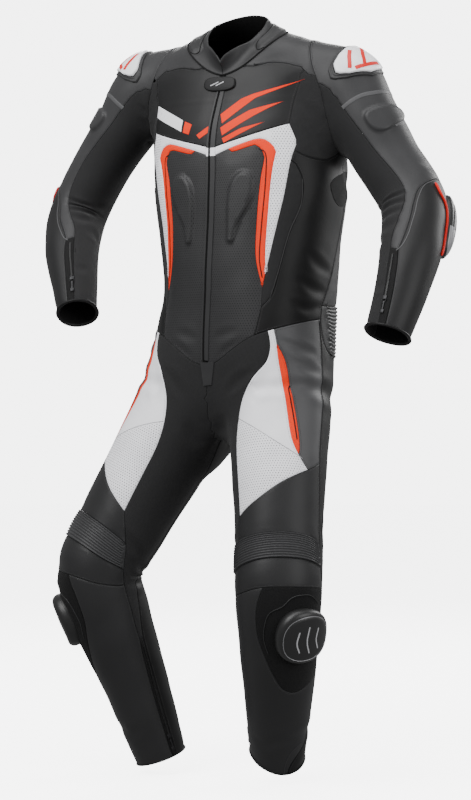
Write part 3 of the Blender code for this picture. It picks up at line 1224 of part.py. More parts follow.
def buildSuit():
    form, world = Form(), World()
    torso = Surface(TorsoMap(form))
    signs = {"left": 1, "right": -1}
    arms = {s: Surface(LimbMap(form, form.arms[s], signs[s], ARM_LENGTH, ARM_START, -90,
                               [(0, .066), (.3, .066), (.645, .046)])) for s in signs}
    legs = {s: Surface(LimbMap(form, form.legs[s], signs[s], LEG_LENGTH, 0.0, -180,
                               [(0, .105), (.4, .102), (.6, .086), (1.02, .057)]))
            for s in signs}
    sheet, cuts, ribs = cutTorso(world, torso, arms, legs)
    armSheets = {s: cutArm(world, arms[s], sheet, s) for s in signs}
    legSheets, kneeRibs = cutLegs(world, legs, sheet, cuts)
    for one in [sheet] + list(armSheets.values()) + list(legSheets.values()):
        one.fill(one.step)
        one.triangulate()

    def padOn(outline, surface):
        return lambda uv: padLift(outline, surface, uv)

    panel("front_zip", sheet.piece([(0, -.2)]), world, "zip tape", LEATHER)
    panel("yoke", sheet.piece([(90, .15), (-90, .15)]), world, "charcoal leather", LEATHER)
    panel("back", sheet.piece([(150, -.15), (-150, -.15)]), world, "charcoal leather", LEATHER)
    panel("back_ribs", sheet.piece([(150, -.45), (-150, -.45)]), world, "charcoal leather",
          LEATHER, ribs.lift)
    for side, s in signs.items():
        for name, (seed, material, wall) in TORSO_PANELS.items():
            outline = turnChest(otherSide(FRONT_PAD, s))
            lift = padOn(outline, torso) if name == "front" else None
            piece = sheet.piece(turnChest([(s*seed[0], seed[1])]))
            panel(name + "_" + side, piece, world, material, wall, lift)
        one = armSheets[side]
        for name, (seeds, material, wall) in SLEEVE_PANELS.items():
            lift = padOn(SLEEVE_PAD, arms[side]) if name == "sleeve_upper" else None
            panel(name + "_" + side, one.piece(seeds), world, material, wall, lift)
        hardPiece("shoulder_cup_" + side, one.piece([CUP[:2]], one.over["cup"]), world,
                  "white plastic", CUP, 0.0022, 0.0130, 2.3)
        hardPiece("elbow_slider_" + side, one.piece([ELBOW[:2]], one.over["slider"]), world,
                  "black plastic", ELBOW, 0.0030, 0.0150, 2.3)
        zipPull("cuff_zip_pull_" + side, arms[side], (-15.0, .598), (-12.0, .630),
                (0.024, 0.0075, 0.0016), "zip metal")
        one = legSheets[side]
        for name, (seeds, material, wall) in LEG_PANELS.items():
            lift = kneeRibs.lift if name == "knee_ribs" else None
            panel(name + "_" + side, one.piece(seeds), world, material, wall, lift)
        hardPiece("knee_slider_" + side, one.piece([KNEE[:2]], one.over["slider"]), world,
                  "black plastic", KNEE, 0.0080, 0.0160, 2.3)
        low = CALF_PULLS[side]
        zipPull("calf_zip_pull_" + side, legs[side], (-105.3, low), (-105.0, low + .030),
                (0.024, 0.0075, 0.0016), "zip metal")
    hardPiece("collar_tab", sheet.piece([TAB[:2]], sheet.over["tab"]), world,
              "charcoal leather", TAB, 0.0030, 0.0012, 3.5)
    collar(world, sheet)
    return sheet, armSheets, legSheets, world


clearScene()
buildSuit()
print("pieces", len(bpy.data.objects), "triangles",
      sum(len(o.data.polygons) for o in bpy.data.objects))
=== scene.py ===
# A one-piece leather race suit in its worn shape: sewn cloth, stitches, zips and hard pieces.
# Metres, +Z up, front at -Y, the wearer's left at +X.
import json
from math import cos, pi, radians, sin

import bpy
import numpy as np
from mathutils import Matrix, Vector
from mathutils.bvhtree import BVHTree
from mathutils.geometry import delaunay_2d_cdt
from mathutils.kdtree import KDTree

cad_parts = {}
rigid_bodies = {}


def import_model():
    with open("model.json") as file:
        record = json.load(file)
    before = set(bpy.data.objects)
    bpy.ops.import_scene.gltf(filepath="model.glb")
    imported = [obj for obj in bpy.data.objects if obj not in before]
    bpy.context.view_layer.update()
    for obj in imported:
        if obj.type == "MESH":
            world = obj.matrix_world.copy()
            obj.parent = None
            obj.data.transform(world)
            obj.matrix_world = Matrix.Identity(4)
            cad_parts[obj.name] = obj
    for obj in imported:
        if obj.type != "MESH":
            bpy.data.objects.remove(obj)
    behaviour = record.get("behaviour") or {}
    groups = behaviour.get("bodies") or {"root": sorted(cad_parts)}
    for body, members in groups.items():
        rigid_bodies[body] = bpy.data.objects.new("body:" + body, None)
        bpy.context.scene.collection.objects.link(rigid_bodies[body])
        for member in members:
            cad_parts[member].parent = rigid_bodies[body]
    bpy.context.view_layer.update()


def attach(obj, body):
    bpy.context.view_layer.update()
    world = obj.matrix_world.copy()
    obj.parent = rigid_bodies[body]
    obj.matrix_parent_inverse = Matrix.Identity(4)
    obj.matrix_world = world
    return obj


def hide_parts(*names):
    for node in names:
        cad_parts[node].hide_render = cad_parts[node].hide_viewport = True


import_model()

# driving sizes
armLength = 0.645        # along a sleeve's axis, from its armhole's top to the cuff
legLength = 1.020        # along a leg's axis, from inside the waist to the hem
collarWall = 0.0040
pointStep = {"torso": 0.0110, "arm": 0.0095, "leg": 0.0110}   # coarse points of each chart
kneeRibCount, backRibCount = 11, 14
ribHeight = 0.0032
padHeight, padEdge = 0.0035, 0.005
fanHeight = -0.13        # above this height the torso's measuring lines fan upward
fanReach = 0.20          # chart length for one radian of the fan
zipHalf = 3.1            # half width of the front zip strip, degrees
blendSize = {"arm": 0.045, "thighs": 0.013, "leg": 0.035}   # soft join between limbs
torsoRows = [
    # height, centre x, centre y, turn, half width, front depth, back depth, squareness
    (0.060, 0.000, 0.000, 0, 0.072, 0.075, 0.070, 2.0),
    (0.010, 0.000, 0.005, 0, 0.092, 0.080, 0.080, 2.0),
    (-0.016, 0.000, 0.010, 0, 0.138, 0.085, 0.100, 2.1),
    (-0.045, 0.000, 0.018, 0, 0.172, 0.095, 0.115, 2.3),
    (-0.090, 0.000, 0.028, 1, 0.188, 0.112, 0.128, 2.4),
    (-0.150, 0.000, 0.038, 2, 0.196, 0.132, 0.142, 2.4),
    (-0.220, 0.000, 0.042, 3, 0.197, 0.145, 0.150, 2.4),
    (-0.300, 0.002, 0.044, 4, 0.196, 0.150, 0.156, 2.4),
    (-0.400, 0.002, 0.043, 7, 0.184, 0.148, 0.152, 2.4),
    (-0.480, 0.004, 0.040, 9, 0.175, 0.146, 0.152, 2.4),
    (-0.540, 0.003, 0.037, 10, 0.172, 0.140, 0.152, 2.4),
    (-0.600, -0.005, 0.034, 10, 0.176, 0.132, 0.152, 2.4),
    (-0.660, -0.016, 0.032, 10, 0.176, 0.120, 0.150, 2.4),
    (-0.720, -0.020, 0.030, 10, 0.165, 0.100, 0.135, 2.3),
    (-0.760, -0.020, 0.035, 10, 0.110, 0.070, 0.105, 2.1),
]
rayRows = [
    # height, x, y, turn of the lines the torso's chart is measured along
    (-0.70, -0.018, 0.032, 10), (-0.60, -0.008, 0.034, 10), (-0.50, 0.0, 0.038, 9),
    (-0.40, 0.0, 0.038, 7), (-0.25, 0.0, 0.030, 3), (-0.13, 0.0, 0.016, 1),
]
armLeftRows = [
    # x, y, z, facing, side half width, front depth, back depth, squareness
    (0.100, 0.040, -0.058, 0, 0.046, 0.052, 0.052, 2.0),
    (0.150, 0.040, -0.072, 0, 0.058, 0.064, 0.064, 2.0),
    (0.204, 0.040, -0.094, 0, 0.072, 0.074, 0.074, 2.0),
    (0.252, 0.038, -0.165, 0, 0.068, 0.070, 0.070, 2.1),
    (0.304, 0.036, -0.252, 0, 0.064, 0.064, 0.066, 2.1),
    (0.362, 0.022, -0.338, 4, 0.064, 0.062, 0.072, 2.1),
    (0.380, -0.030, -0.420, 7, 0.060, 0.058, 0.066, 2.1),
    (0.377, -0.075, -0.508, 7, 0.051, 0.052, 0.055, 2.1),
    (0.364, -0.114, -0.597, 7, 0.043, 0.044, 0.045, 2.1),
]
armRightRows = [
    (-0.100, 0.040, -0.050, 0, 0.048, 0.054, 0.054, 2.0),
    (-0.150, 0.040, -0.062, 0, 0.060, 0.066, 0.066, 2.0),
    (-0.216, 0.040, -0.082, 0, 0.074, 0.076, 0.074, 2.0),
    (-0.282, 0.038, -0.160, 0, 0.062, 0.068, 0.068, 2.1),
    (-0.346, 0.036, -0.250, 0, 0.058, 0.062, 0.064, 2.1),
    (-0.386, 0.022, -0.335, 7, 0.058, 0.060, 0.068, 2.1),
    (-0.370, -0.030, -0.410, 12, 0.055, 0.056, 0.060, 2.1),
    (-0.339, -0.073, -0.482, 12, 0.046, 0.050, 0.053, 2.1),
    (-0.312, -0.108, -0.545, 12, 0.039, 0.042, 0.043, 2.1),
]
legLeftRows = [
    (0.042, 0.030, -0.460, -10, 0.080, 0.100, 0.100, 2.2),
    (0.052, 0.025, -0.520, -10, 0.090, 0.110, 0.110, 2.2),
    (0.066, 0.020, -0.620, 0, 0.102, 0.115, 0.120, 2.2),
    (0.082, 0.008, -0.720, 10, 0.102, 0.105, 0.115, 2.2),
    (0.100, -0.030, -0.850, 20, 0.095, 0.098, 0.100, 2.1),
    (0.117, -0.068, -0.980, 28, 0.086, 0.088, 0.088, 2.1),
    (0.128, -0.093, -1.095, 30, 0.085, 0.085, 0.083, 2.1),
    (0.119, -0.072, -1.190, 30, 0.078, 0.078, 0.086, 2.1),
    (0.098, -0.028, -1.300, 30, 0.068, 0.068, 0.076, 2.1),
    (0.071, 0.025, -1.438, 30, 0.054, 0.057, 0.058, 2.0),
]
legRightRows = [
    (-0.046, 0.046, -0.460, -10, 0.080, 0.100, 0.100, 2.2),
    (-0.060, 0.045, -0.520, -10, 0.090, 0.110, 0.110, 2.2),
    (-0.084, 0.042, -0.610, -18, 0.100, 0.115, 0.120, 2.2),
    (-0.122, 0.030, -0.710, -26, 0.102, 0.105, 0.115, 2.2),
    (-0.178, 0.000, -0.830, -36, 0.096, 0.098, 0.100, 2.1),
    (-0.238, -0.040, -0.960, -42, 0.089, 0.090, 0.090, 2.1),
    (-0.280, -0.069, -1.072, -45, 0.085, 0.088, 0.082, 2.1),
    (-0.264, -0.054, -1.165, -45, 0.077, 0.078, 0.082, 2.1),
    (-0.229, -0.022, -1.285, -45, 0.065, 0.067, 0.067, 2.1),
    (-0.186, 0.018, -1.446, -45, 0.052, 0.054, 0.050, 2.0),
]
armStart = 0.052         # axis length before the sleeve's chart begins
armholePlanes = {
    # middle x, y, z; rise outward and up to the shoulder; drop outward and down to the underarm
    "left": ((0.193, 0.036, -0.120), (-0.032, 0.090), (0.017, -0.123)),
    "right": ((-0.193, 0.036, -0.120), (0.032, 0.090), (-0.017, -0.068)),
}
crotchPlane = ((-0.003, -0.60), (-0.043, -0.80))       # x and z of the plane between the legs
rimRows = [
    # angle from the front, height, distance from the neck's middle, for the collar's top edge
    (0, -0.060, 0.0885), (5, -0.049, 0.088), (13, -0.0385, 0.083), (22, -0.030, 0.077),
    (42, -0.016, 0.0715), (58, 0.001, 0.0680), (73, 0.014, 0.065), (90, 0.028, 0.062),
    (116, 0.040, 0.059), (150, 0.051, 0.057), (180, 0.055, 0.057),
]

# seams: (angle from the front in degrees, distance down or along), for the left half
neckLine = [(0, .101), (18, .112), (34, .130), (52, .152), (72, .176), (100, .200), (140, .214),
        (180, .216)]
waistFrontLine = [(0, -.522), (13, -.515), (29, -.487), (42, -.465), (53, -.454), (65, -.444),
               (78, -.436), (90, -.431)]
waistBackLine = [(90, -.431), (93, -.470), (100, -.496), (120, -.507), (150, -.511), (180, -.512)]
backStops = [.216, .066, -.396, -.512]
chestTurn = [
    # height, share: the chest's seams sit toward the wearer's right, most at its widest
    (-.24, 0), (-.147, .30), (-.087, .72), (-.04, .80), (0, .40), (.03, .15), (.046, 0),
]
turnMiddle, turnSide = 5, 8       # degrees at the zip, and more at the right side
zipStops = [.103, .06, .02, -.03, -.087, -.147, -.20, -.26, -.38, -.521]
torsoSeams = {
    # name: points, line met at the start, line met at the end
    "yokeFront": ([(26, .1215), (38, .110), (52, .106), (64, .088), (70.5, .064), (74.5, .046)],
                  "neck", "armhole"),
    "yokeBack": ([(117, .027), (130, .046), (153, .061), (180, .066)], "armhole", "back"),
    "chestEdge": ([(70.5, .064), (66, .015), (62, -.020), (58.5, -.052)], "yokeFront", None),
    "chevronTop": ([(3.1, -.094), (32, -.074), (58.5, -.052)], "zip", "chestEdge"),
    "whiteOuter": ([(58.5, -.052), (61.2, -.078), (62.0, -.0884), (61.2, -.096), (58.0, -.120),
                    (53.8, -.2018), (48.7, -.289), (44, -.371)], "chestEdge", None),
    "chevronLow": ([(3.1, -.110), (15, -.099)], "zip", None),
    "stripeOuter": ([(15, -.099), (30, -.0865), (36.2, -.0818), (38.4, -.0810), (42.4, -.0832),
                     (44.4, -.0868), (48.2, -.0998), (48.9, -.1050), (47.4, -.1241),
                     (45.9, -.1606), (44.8, -.2463), (44.6, -.300), (45.6, -.345)],
                    "chevronLow", "whiteOuter"),
    "stripeInner": ([(15, -.099), (17.6, -.1045), (20, -.1045), (34.5, -.0938), (36.9, -.0932),
                     (40.8, -.1090), (41.4, -.1150), (39.3, -.1604), (37.9, -.2461),
                     (38.6, -.3141), (44, -.371)], "chevronLow", "whiteOuter"),
    "stripEnd": ([(44, -.371), (45, -.409)], "whiteOuter", None),
    "sideTop": ([(61, -.108), (72, -.118), (82, -.118), (90, -.105)], "whiteOuter", "armhole"),
    "sideFront": ([(59, -.122), (65, -.160), (65, -.211), (59, -.265), (54, -.337),
                   (50, -.390), (45, -.409)], "whiteOuter", "stripEnd"),
    "frontSide": ([(45, -.409), (42.5, -.466)], "stripEnd", "waist"),
    "sideBack": ([(98, -.098), (109, -.20), (105, -.30), (96, -.375), (91, -.405)],
                 "armhole", None),
    "ribsTop": ([(91, -.405), (120, -.402), (150, -.398), (180, -.396)], "sideBack", "back"),
    "ribsFront": ([(91, -.405), (90, -.431)], "sideBack", "waist"),
}
sleeveSeams = {
    "sleeveFront": ([(-11, .050), (-5, .13), (4, .22), (11, .29), (9, .345), (-2, .395),
                     (-17, .437), (-27, .468), (-28, .490)], "armhole", None),
    "sleeveBack": ([(206, .12), (216, .20), (222, .35), (226, .50), (228, .645)],
                   "armhole", "cuff"),
    "zipTop": ([(-28, .490), (-10, .495)], "sleeveFront", None),
    "zipInner": ([(-28, .490), (-27, .52), (-15, .645)], "sleeveFront", "cuff"),
    "zipOuter": ([(-10, .495), (-5, .53), (4, .645)], "zipTop", "cuff"),
    "elbow": ([(-10, .495), (6, .443), (15, .400), (32, .362), (60, .343), (95, .333),
               (140, .335), (185, .345), (222, .360)], "zipTop", "sleeveBack"),
}
legSeams = {
    "innerFront": ([(23.5, .141), (20, .176), (12, .204), (-6, .232), (-25, .273), (-41, .323),
                    (-51, .372), (-56, .428), (-60, .480), (-62, .512)], "waist", None),
    "kneeInner": ([(-62, .512), (-74, .540), (-87, .565), (-99, .600), (-107, .640),
                   (-110, .700), (-110, .780)], "innerFront", None),
    "outerBack": ([(84, .116), (81, .160), (78, .205), (70, .285), (63, .350), (60, .404),
                   (60, .480), (62, .567), (67, .610), (80, .645), (98, .700), (104, .780),
                   (100, .860), (82, .920), (55, .960), (24, .995), (14, 1.020)],
                  "waistFront*", "hem"),
    "thighLow": ([(-62, .512), (-29, .488), (7, .455), (38, .430), (49, .421), (60, .408)],
                 "innerFront", "outerBack"),
    "whiteOuter": ([(29, .137), (27, .169), (24, .200), (20, .284), (21, .372), (28, .402),
                    (38, .430)], "waist", "thighLow"),
    "stripeEdge": ([(27, .169), (30, .205), (28, .258), (28.5, .320), (30, .380), (29, .404)],
                   "whiteOuter", "whiteOuter"),
    "ribsTop": ([(-87, .565), (-60, .559), (-26, .554), (7, .552), (36, .556), (62, .567)],
                "kneeInner", "outerBack"),
    "ribsLow": ([(-102, .616), (-70, .610), (-30, .602), (6, .600), (42, .602), (66, .608)],
                "kneeInner", "outerBack"),
    "kneeLow": ([(-108, .664), (-72, .652), (-34, .642), (0, .640), (35, .641), (78, .642)],
                "kneeInner", "outerBack"),
    "zipTop": ([(-110, .780), (-117, .780)], "kneeInner", None),
    "zipFront": ([(-110, .780), (-103, .850), (-100, .930), (-99, 1.020)], "kneeInner", "hem"),
    "zipBack": ([(-117, .780), (-113, .850), (-111, .930), (-110, 1.020)], "zipTop", "hem"),
    "innerBack": ([(-128, .345), (-138, .420), (-141, .520), (-137, .620), (-128, .700),
                   (-117, .780)], "mid", "zipTop"),
    "grip": ([(-26, .6415), (-35, .665), (-36, .705), (-28, .742), (-13, .785), (2, .815),
              (18, .825), (38, .822), (60, .811), (80, .775), (88, .730), (84, .685),
              (73, .641)], "kneeLow", "kneeLow"),
}
hemLines = {
    # the hem's line round each leg
    "left": [(-180, 1.006), (-90, .998), (-45, 1.008), (0, 1.020), (40, 1.020), (90, 1.013),
             (180, 1.006)],
    "right": [(-180, 1.020), (0, 1.020), (180, 1.020)],
}
calfPulls = {"left": .962, "right": .985}        # how far down each calf's zip pull hangs
# raised pads: closed outlines on a chart
frontPad = [(27, -.142), (18, -.162), (15, -.20), (15.5, -.245), (17, -.282), (21.5, -.283),
             (25, -.248), (32, -.215), (35.5, -.185), (34.5, -.155)]
sleevePad = [(16, .164), (24, .157), (60, .159), (98, .166), (110, .174), (100, .190),
              (82, .199), (60, .205), (40, .211), (23, .203), (16, .186)]
# hard pieces on a chart: middle angle, middle distance, half angle, half length
elbowPlace = (125, .402, 28, .056)
kneePlace = (25, .713, 36, .046)
cupMiddle = (62, .070)
cupOutline = [(3, .066), (9, .055), (13, .0515), (34, .047), (60, .045), (88, .046), (108, .052),
              (119, .064), (119, .080), (107, .090), (62, .0965), (21, .084), (7, .074)]
tabPlace = (-2, .0635, 20, .028)
# panels: seed on the chart, material
torsoPanels = {
    "chest": ((40, .03), "charcoal leather"),
    "chevron": ((55, -.10), "white leather"),
    "chest_stripe": ((44, -.2), "orange leather"),
    "front": ((20, -.2), "charcoal leather"),
    "side_stretch": ((67, -.04), "black stretch"),
    "side_strip": ((58, -.2), "black stretch"),
    "side": ((85, -.25), "dark leather"),
}
sleevePanels = {
    "sleeve_upper": ([(60, .2)], "charcoal leather"),
    "sleeve_stretch": ([(-60, .4), (250, .4)], "black stretch"),
    "forearm": ([(90, .5)], "charcoal leather"),
    "cuff_zip": ([(-15, .55)], "zip tape"),
}
legPanels = {
    "leg_stretch": ([(-80, .45)], "black stretch"),
    "thigh_white": ([(0, .35)], "white leather"),
    "thigh_stripe": ([(25, .28)], "orange leather"),
    "hip": ([(50, .25)], "charcoal leather"),
    "leg_back": ([(120, .4), (-160, .5)], "dark leather"),
    "knee_upper": ([(0, .51)], "charcoal leather"),
    "knee_ribs": ([(0, .575)], "charcoal leather"),
    "knee_top": ([(0, .62)], "charcoal leather"),
    "knee_grip": ([(20, .7)], "black grip"),
    "shin": ([(-60, .8)], "dark leather"),
    "calf_zip": ([(-106, .95)], "zip tape"),
}


# the garment's smooth form
def smoothRows(rows, at):
    rows = np.asarray(rows, float)
    key, val = rows[:, 0], rows[:, 1:]
    slope = np.gradient(val, key, axis=0)
    i = np.clip(np.searchsorted(key, at) - 1, 0, len(key) - 2)
    h = (key[i + 1] - key[i])[:, None]
    t = (np.asarray(at)[:, None] - key[i][:, None]) / h
    return ((2*t**3 - 3*t**2 + 1)*val[i] + (t**3 - 2*t**2 + t)*h*slope[i]
            + (3*t**2 - 2*t**3)*val[i + 1] + (t**3 - t**2)*h*slope[i + 1])


def smoothMin(a, b, k):
    h = np.clip(0.5 + 0.5*(b - a)/k, 0, 1)
    return b*(1 - h) + a*h - k*h*(1 - h)


def unit(rows):
    return rows / np.maximum(np.linalg.norm(rows, axis=-1), 1e-12)[..., None]


def alongLine(points):
    return np.concatenate([[0], np.cumsum(np.linalg.norm(np.diff(points, axis=0), axis=1))])


class Limb:
    # superellipse sections swept along a smooth axis
    def __init__(self, stations, count=90):
        stations = np.asarray(stations, float)
        along = alongLine(stations[:, :3])
        rows = smoothRows(np.column_stack([along, stations]),
                          np.linspace(0, along[-1], count))
        along = alongLine(rows[:, :3])
        self.t = np.linspace(0, along[-1], count)
        rows = np.column_stack([np.interp(self.t, along, c) for c in rows.T])
        self.length, self.step = along[-1], self.t[1]
        self.axis = rows[:, :3]
        self.tan = unit(np.gradient(self.axis, self.t, axis=0))
        a = np.radians(rows[:, 3])
        face = np.column_stack([np.sin(a), -np.cos(a), 0*a])
        self.front = unit(face - (face*self.tan).sum(1)[:, None]*self.tan)
        self.side = np.cross(self.front, self.tan)
        self.size = rows[:, 4:8]

    def at(self, rows, t):
        u = np.clip(t/self.step, 0, len(self.t) - 1.000001)
        i = u.astype(int)
        f = (u - i)[:, None]
        return rows[i]*(1 - f) + rows[i + 1]*f

    def local(self, p):
        t = np.empty(len(p))
        for c in range(0, len(p), 20000):
            q = p[c:c + 20000]
            d2 = ((q[:, None, :] - self.axis[None, ::3, :])**2).sum(2)
            t[c:c + 20000] = self.t[::3][d2.argmin(1)]
        for _ in range(3):
            step = ((p - self.at(self.axis, t))*self.at(self.tan, t)).sum(1)
            t = np.clip(t + step, 0, self.length)
        d = p - self.at(self.axis, t)
        return [t] + [(d*self.at(rows, t)).sum(1) for rows in (self.side, self.front, self.tan)]

    def radius(self, t, x, y):
        size = self.at(self.size, t)
        rho = np.maximum(np.hypot(x, y), 1e-9)
        depth = np.where(y > 0, size[:, 1], size[:, 2])
        n = size[:, 3]
        return ((np.abs(x)/rho/size[:, 0])**n + (np.abs(y)/rho/depth)**n)**(-1/n)

    def field(self, p):
        t, x, y, over = self.local(p)
        r = self.radius(t, x, y)
        h = 0.004
        slope = (self.radius(np.minimum(t + h, self.length), x, y)
                 - self.radius(np.maximum(t - h, 0), x, y)) / (2*h)
        return (np.sqrt(x*x + y*y + over*over) - r) / np.sqrt(1 + slope*slope)


class Form:
    # the limbs joined softly; negative inside
    def __init__(self):
        rows = [(x, y, z, -turn, w, f, b, n) for z, x, y, turn, w, f, b, n in torsoRows]
        self.torso = Limb(rows)
        self.arms = {"left": Limb(armLeftRows), "right": Limb(armRightRows)}
        self.legs = {"left": Limb(legLeftRows), "right": Limb(legRightRows)}

    def field(self, p):
        f = self.torso.field(p)
        for arm in self.arms.values():
            f = smoothMin(f, arm.field(p), blendSize["arm"])
        left, right = self.legs["left"].field(p), self.legs["right"].field(p)
        return smoothMin(f, smoothMin(left, right, blendSize["thighs"]), blendSize["leg"])

    def cast(self, origin, ray, start=0.02, rounds=16):
        r = np.full(len(origin), start)
        for _ in range(rounds):
            r = r - 0.95*np.clip(self.field(origin + r[:, None]*ray), -0.06, 0.03)
        return r


# charts: an angle and a distance for each point of the surface
class TorsoMap:
    low, high = (-180, -0.60), (180, 0.27)

    def __init__(self, form):
        self.form, self.rows = form, np.array(rayRows)

    def frame(self, z):
        x, y, turn = [np.interp(z, self.rows[:, 0], self.rows[:, k]) for k in (1, 2, 3)]
        turn = np.radians(turn)
        front = np.column_stack([-np.sin(turn), -np.cos(turn), 0*z])
        side = np.column_stack([np.cos(turn), -np.sin(turn), 0*z])
        return np.column_stack([x, y, z]), front, side

    def line(self, uv):
        origin, front, side = self.frame(fanHeight + np.minimum(uv[:, 1], 0))
        lift = (np.maximum(uv[:, 1], 0)/fanReach)[:, None]
        a = np.radians(uv[:, 0])[:, None]
        flat = np.cos(a)*front + np.sin(a)*side
        return origin, np.cos(lift)*flat + np.sin(lift)*np.array([0, 0, 1.0])

    def back(self, p):
        origin, front, side = self.frame(np.minimum(p[:, 2], fanHeight))
        d = p - origin
        x, y = (d*side).sum(1), (d*front).sum(1)
        lift = np.arctan2(p[:, 2] - fanHeight, np.hypot(x, y))*fanReach
        v = np.where(p[:, 2] < fanHeight, p[:, 2] - fanHeight, lift)
        return np.column_stack([np.degrees(np.arctan2(x, y)), v])

    def girth(self, v):
        return 0.165*np.cos(np.clip(v/fanReach, 0, 1.25))


class LimbMap:
    def __init__(self, form, limb, mirror, nominal, before, start, girths):
        self.form, self.limb, self.mirror, self.before = form, limb, mirror, before
        self.scale = (limb.length - before)/nominal
        self.start, self.girths = start, np.array(girths)
        self.low, self.high = (start, -before/self.scale), (start + 360, nominal)

    def line(self, uv):
        t = uv[:, 1]*self.scale + self.before
        a = np.radians(uv[:, 0])[:, None]
        side = self.limb.at(self.limb.side, t)*self.mirror
        ray = np.cos(a)*self.limb.at(self.limb.front, t) + np.sin(a)*side
        return self.limb.at(self.limb.axis, t), unit(ray)

    def back(self, p):
        t, x, y, _ = self.limb.local(p)
        u = np.degrees(np.arctan2(self.mirror*x, y))
        u = (u - self.start) % 360 + self.start
        return np.column_stack([u, (t - self.before)/self.scale])

    def girth(self, v):
        return np.interp(v, self.girths[:, 0], self.girths[:, 1])


def cubicWeights(f):
    return (-0.5*f + f*f - 0.5*f**3, 1 - 2.5*f*f + 1.5*f**3,
            0.5*f + 2*f*f - 1.5*f**3, -0.5*f*f + 0.5*f**3)


class Surface:
    # the form measured once on a grid of a chart, then read smoothly between
    def __init__(self, chart, du=5.0, dv=0.0125):
        self.chart = chart
        nu = int(round((chart.high[0] - chart.low[0])/du)) + 1
        nv = int(round((chart.high[1] - chart.low[1])/dv)) + 1
        self.us = np.linspace(chart.low[0], chart.high[0], nu)
        self.vs = np.linspace(chart.low[1], chart.high[1], nv)
        u, v = np.meshgrid(self.us, self.vs, indexing="ij")
        origin, ray = chart.line(np.column_stack([u.ravel(), v.ravel()]))
        self.grid = chart.form.cast(origin, ray).reshape(nu, nv)

    def reach(self, uv):
        nu, nv = self.grid.shape
        a = (uv[:, 0] - self.us[0])/(self.us[1] - self.us[0])
        b = np.clip((uv[:, 1] - self.vs[0])/(self.vs[1] - self.vs[0]), 0, nv - 1.0001)
        i, j = np.floor(a).astype(int), np.floor(b).astype(int)
        wa, wb = cubicWeights(a - i), cubicWeights(b - j)
        out = np.zeros(len(uv))
        for m in range(4):
            for n in range(4):
                cell = self.grid[(i + m - 1) % (nu - 1), np.clip(j + n - 1, 0, nv - 1)]
                out += wa[m]*wb[n]*cell
        return out

    def point(self, uv):
        origin, ray = self.chart.line(uv)
        return origin + self.reach(uv)[:, None]*ray

    def normal(self, uv):
        du, dv = np.array([0.4, 0.0]), np.array([0.0, 0.001])
        n = unit(np.cross(self.point(uv + du) - self.point(uv - du),
                          self.point(uv + dv) - self.point(uv - dv)))
        out = (n*self.chart.line(uv)[1]).sum(1) < 0
        return np.where(out[:, None], -n, n)

    def flat(self, uv):
        uv = np.asarray(uv, float)
        return np.column_stack([np.radians(uv[:, 0])*self.chart.girth(uv[:, 1]), uv[:, 1]])

    def unflat(self, xy):
        return np.column_stack([np.degrees(xy[:, 0]/self.chart.girth(xy[:, 1])), xy[:, 1]])


def evenMarks(along, step, least):
    return np.linspace(0, along[-1], max(least, int(round(along[-1]/step))) + 1)


def smoothLine(points, surface, step, closed=False):
    # evenly spaced chart points on a smooth line through the given ones
    pts = np.asarray(points, float)
    if closed:
        pts = np.vstack([pts, pts[:1]])
    key = np.concatenate([[0], np.cumsum(np.sqrt(np.diff(alongLine(surface.flat(pts)))))])
    fine = np.linspace(0, key[-1], 40*len(pts))
    if closed:
        keys = np.concatenate([key[-4:-1] - key[-1], key, key[1:4] + key[-1]])
        dense = smoothRows(np.column_stack([keys, np.vstack([pts[-4:-1], pts, pts[1:4]])]),
                           fine)
    elif len(pts) == 2:
        dense = pts[0] + (pts[1] - pts[0])*(fine/key[-1])[:, None]
    else:
        dense = smoothRows(np.column_stack([key, pts]), fine)
    length = alongLine(surface.flat(dense))
    at = evenMarks(length, step, 7 if closed else 1)
    line = np.column_stack([np.interp(at, length, c) for c in dense.T])
    return line[:-1] if closed else line


def spaced(points, step, closed):
    along = alongLine(points)
    at = evenMarks(along, step, 4)
    line = np.column_stack([np.interp(at, along, c) for c in points.T])
    return line[:-1] if closed else line


def otherSide(points, sign):
    return [(sign*u, v) for u, v in points]


def turnChest(points):
    # moves chest points toward the wearer's right, as far as the turned chest needs
    heights, shares = zip(*chestTurn)
    out = []
    for u, v in points:
        reach = (turnMiddle*max(1 - u/45, 0) if u > 0
                 else turnMiddle + turnSide*min(-u/50, 1))
        room = min(max((96 - abs(u))/14, 0), 1)
        out.append((u - reach*room*float(np.interp(v, heights, shares)), v))
    return out


# panels cut on a chart
class World:
    # the points of all panels; one that two charts share is kept once
    def __init__(self):
        self.points, self.middles = [], {}

    def add(self, points):
        first = len(self.points)
        self.points += [np.array(p, float) for p in points]
        return list(range(first, len(self.points)))

    def middle(self, a, b, point):
        key = (min(a, b), max(a, b))
        if key not in self.middles:
            self.middles[key] = self.add([point])[0]
        return self.middles[key]


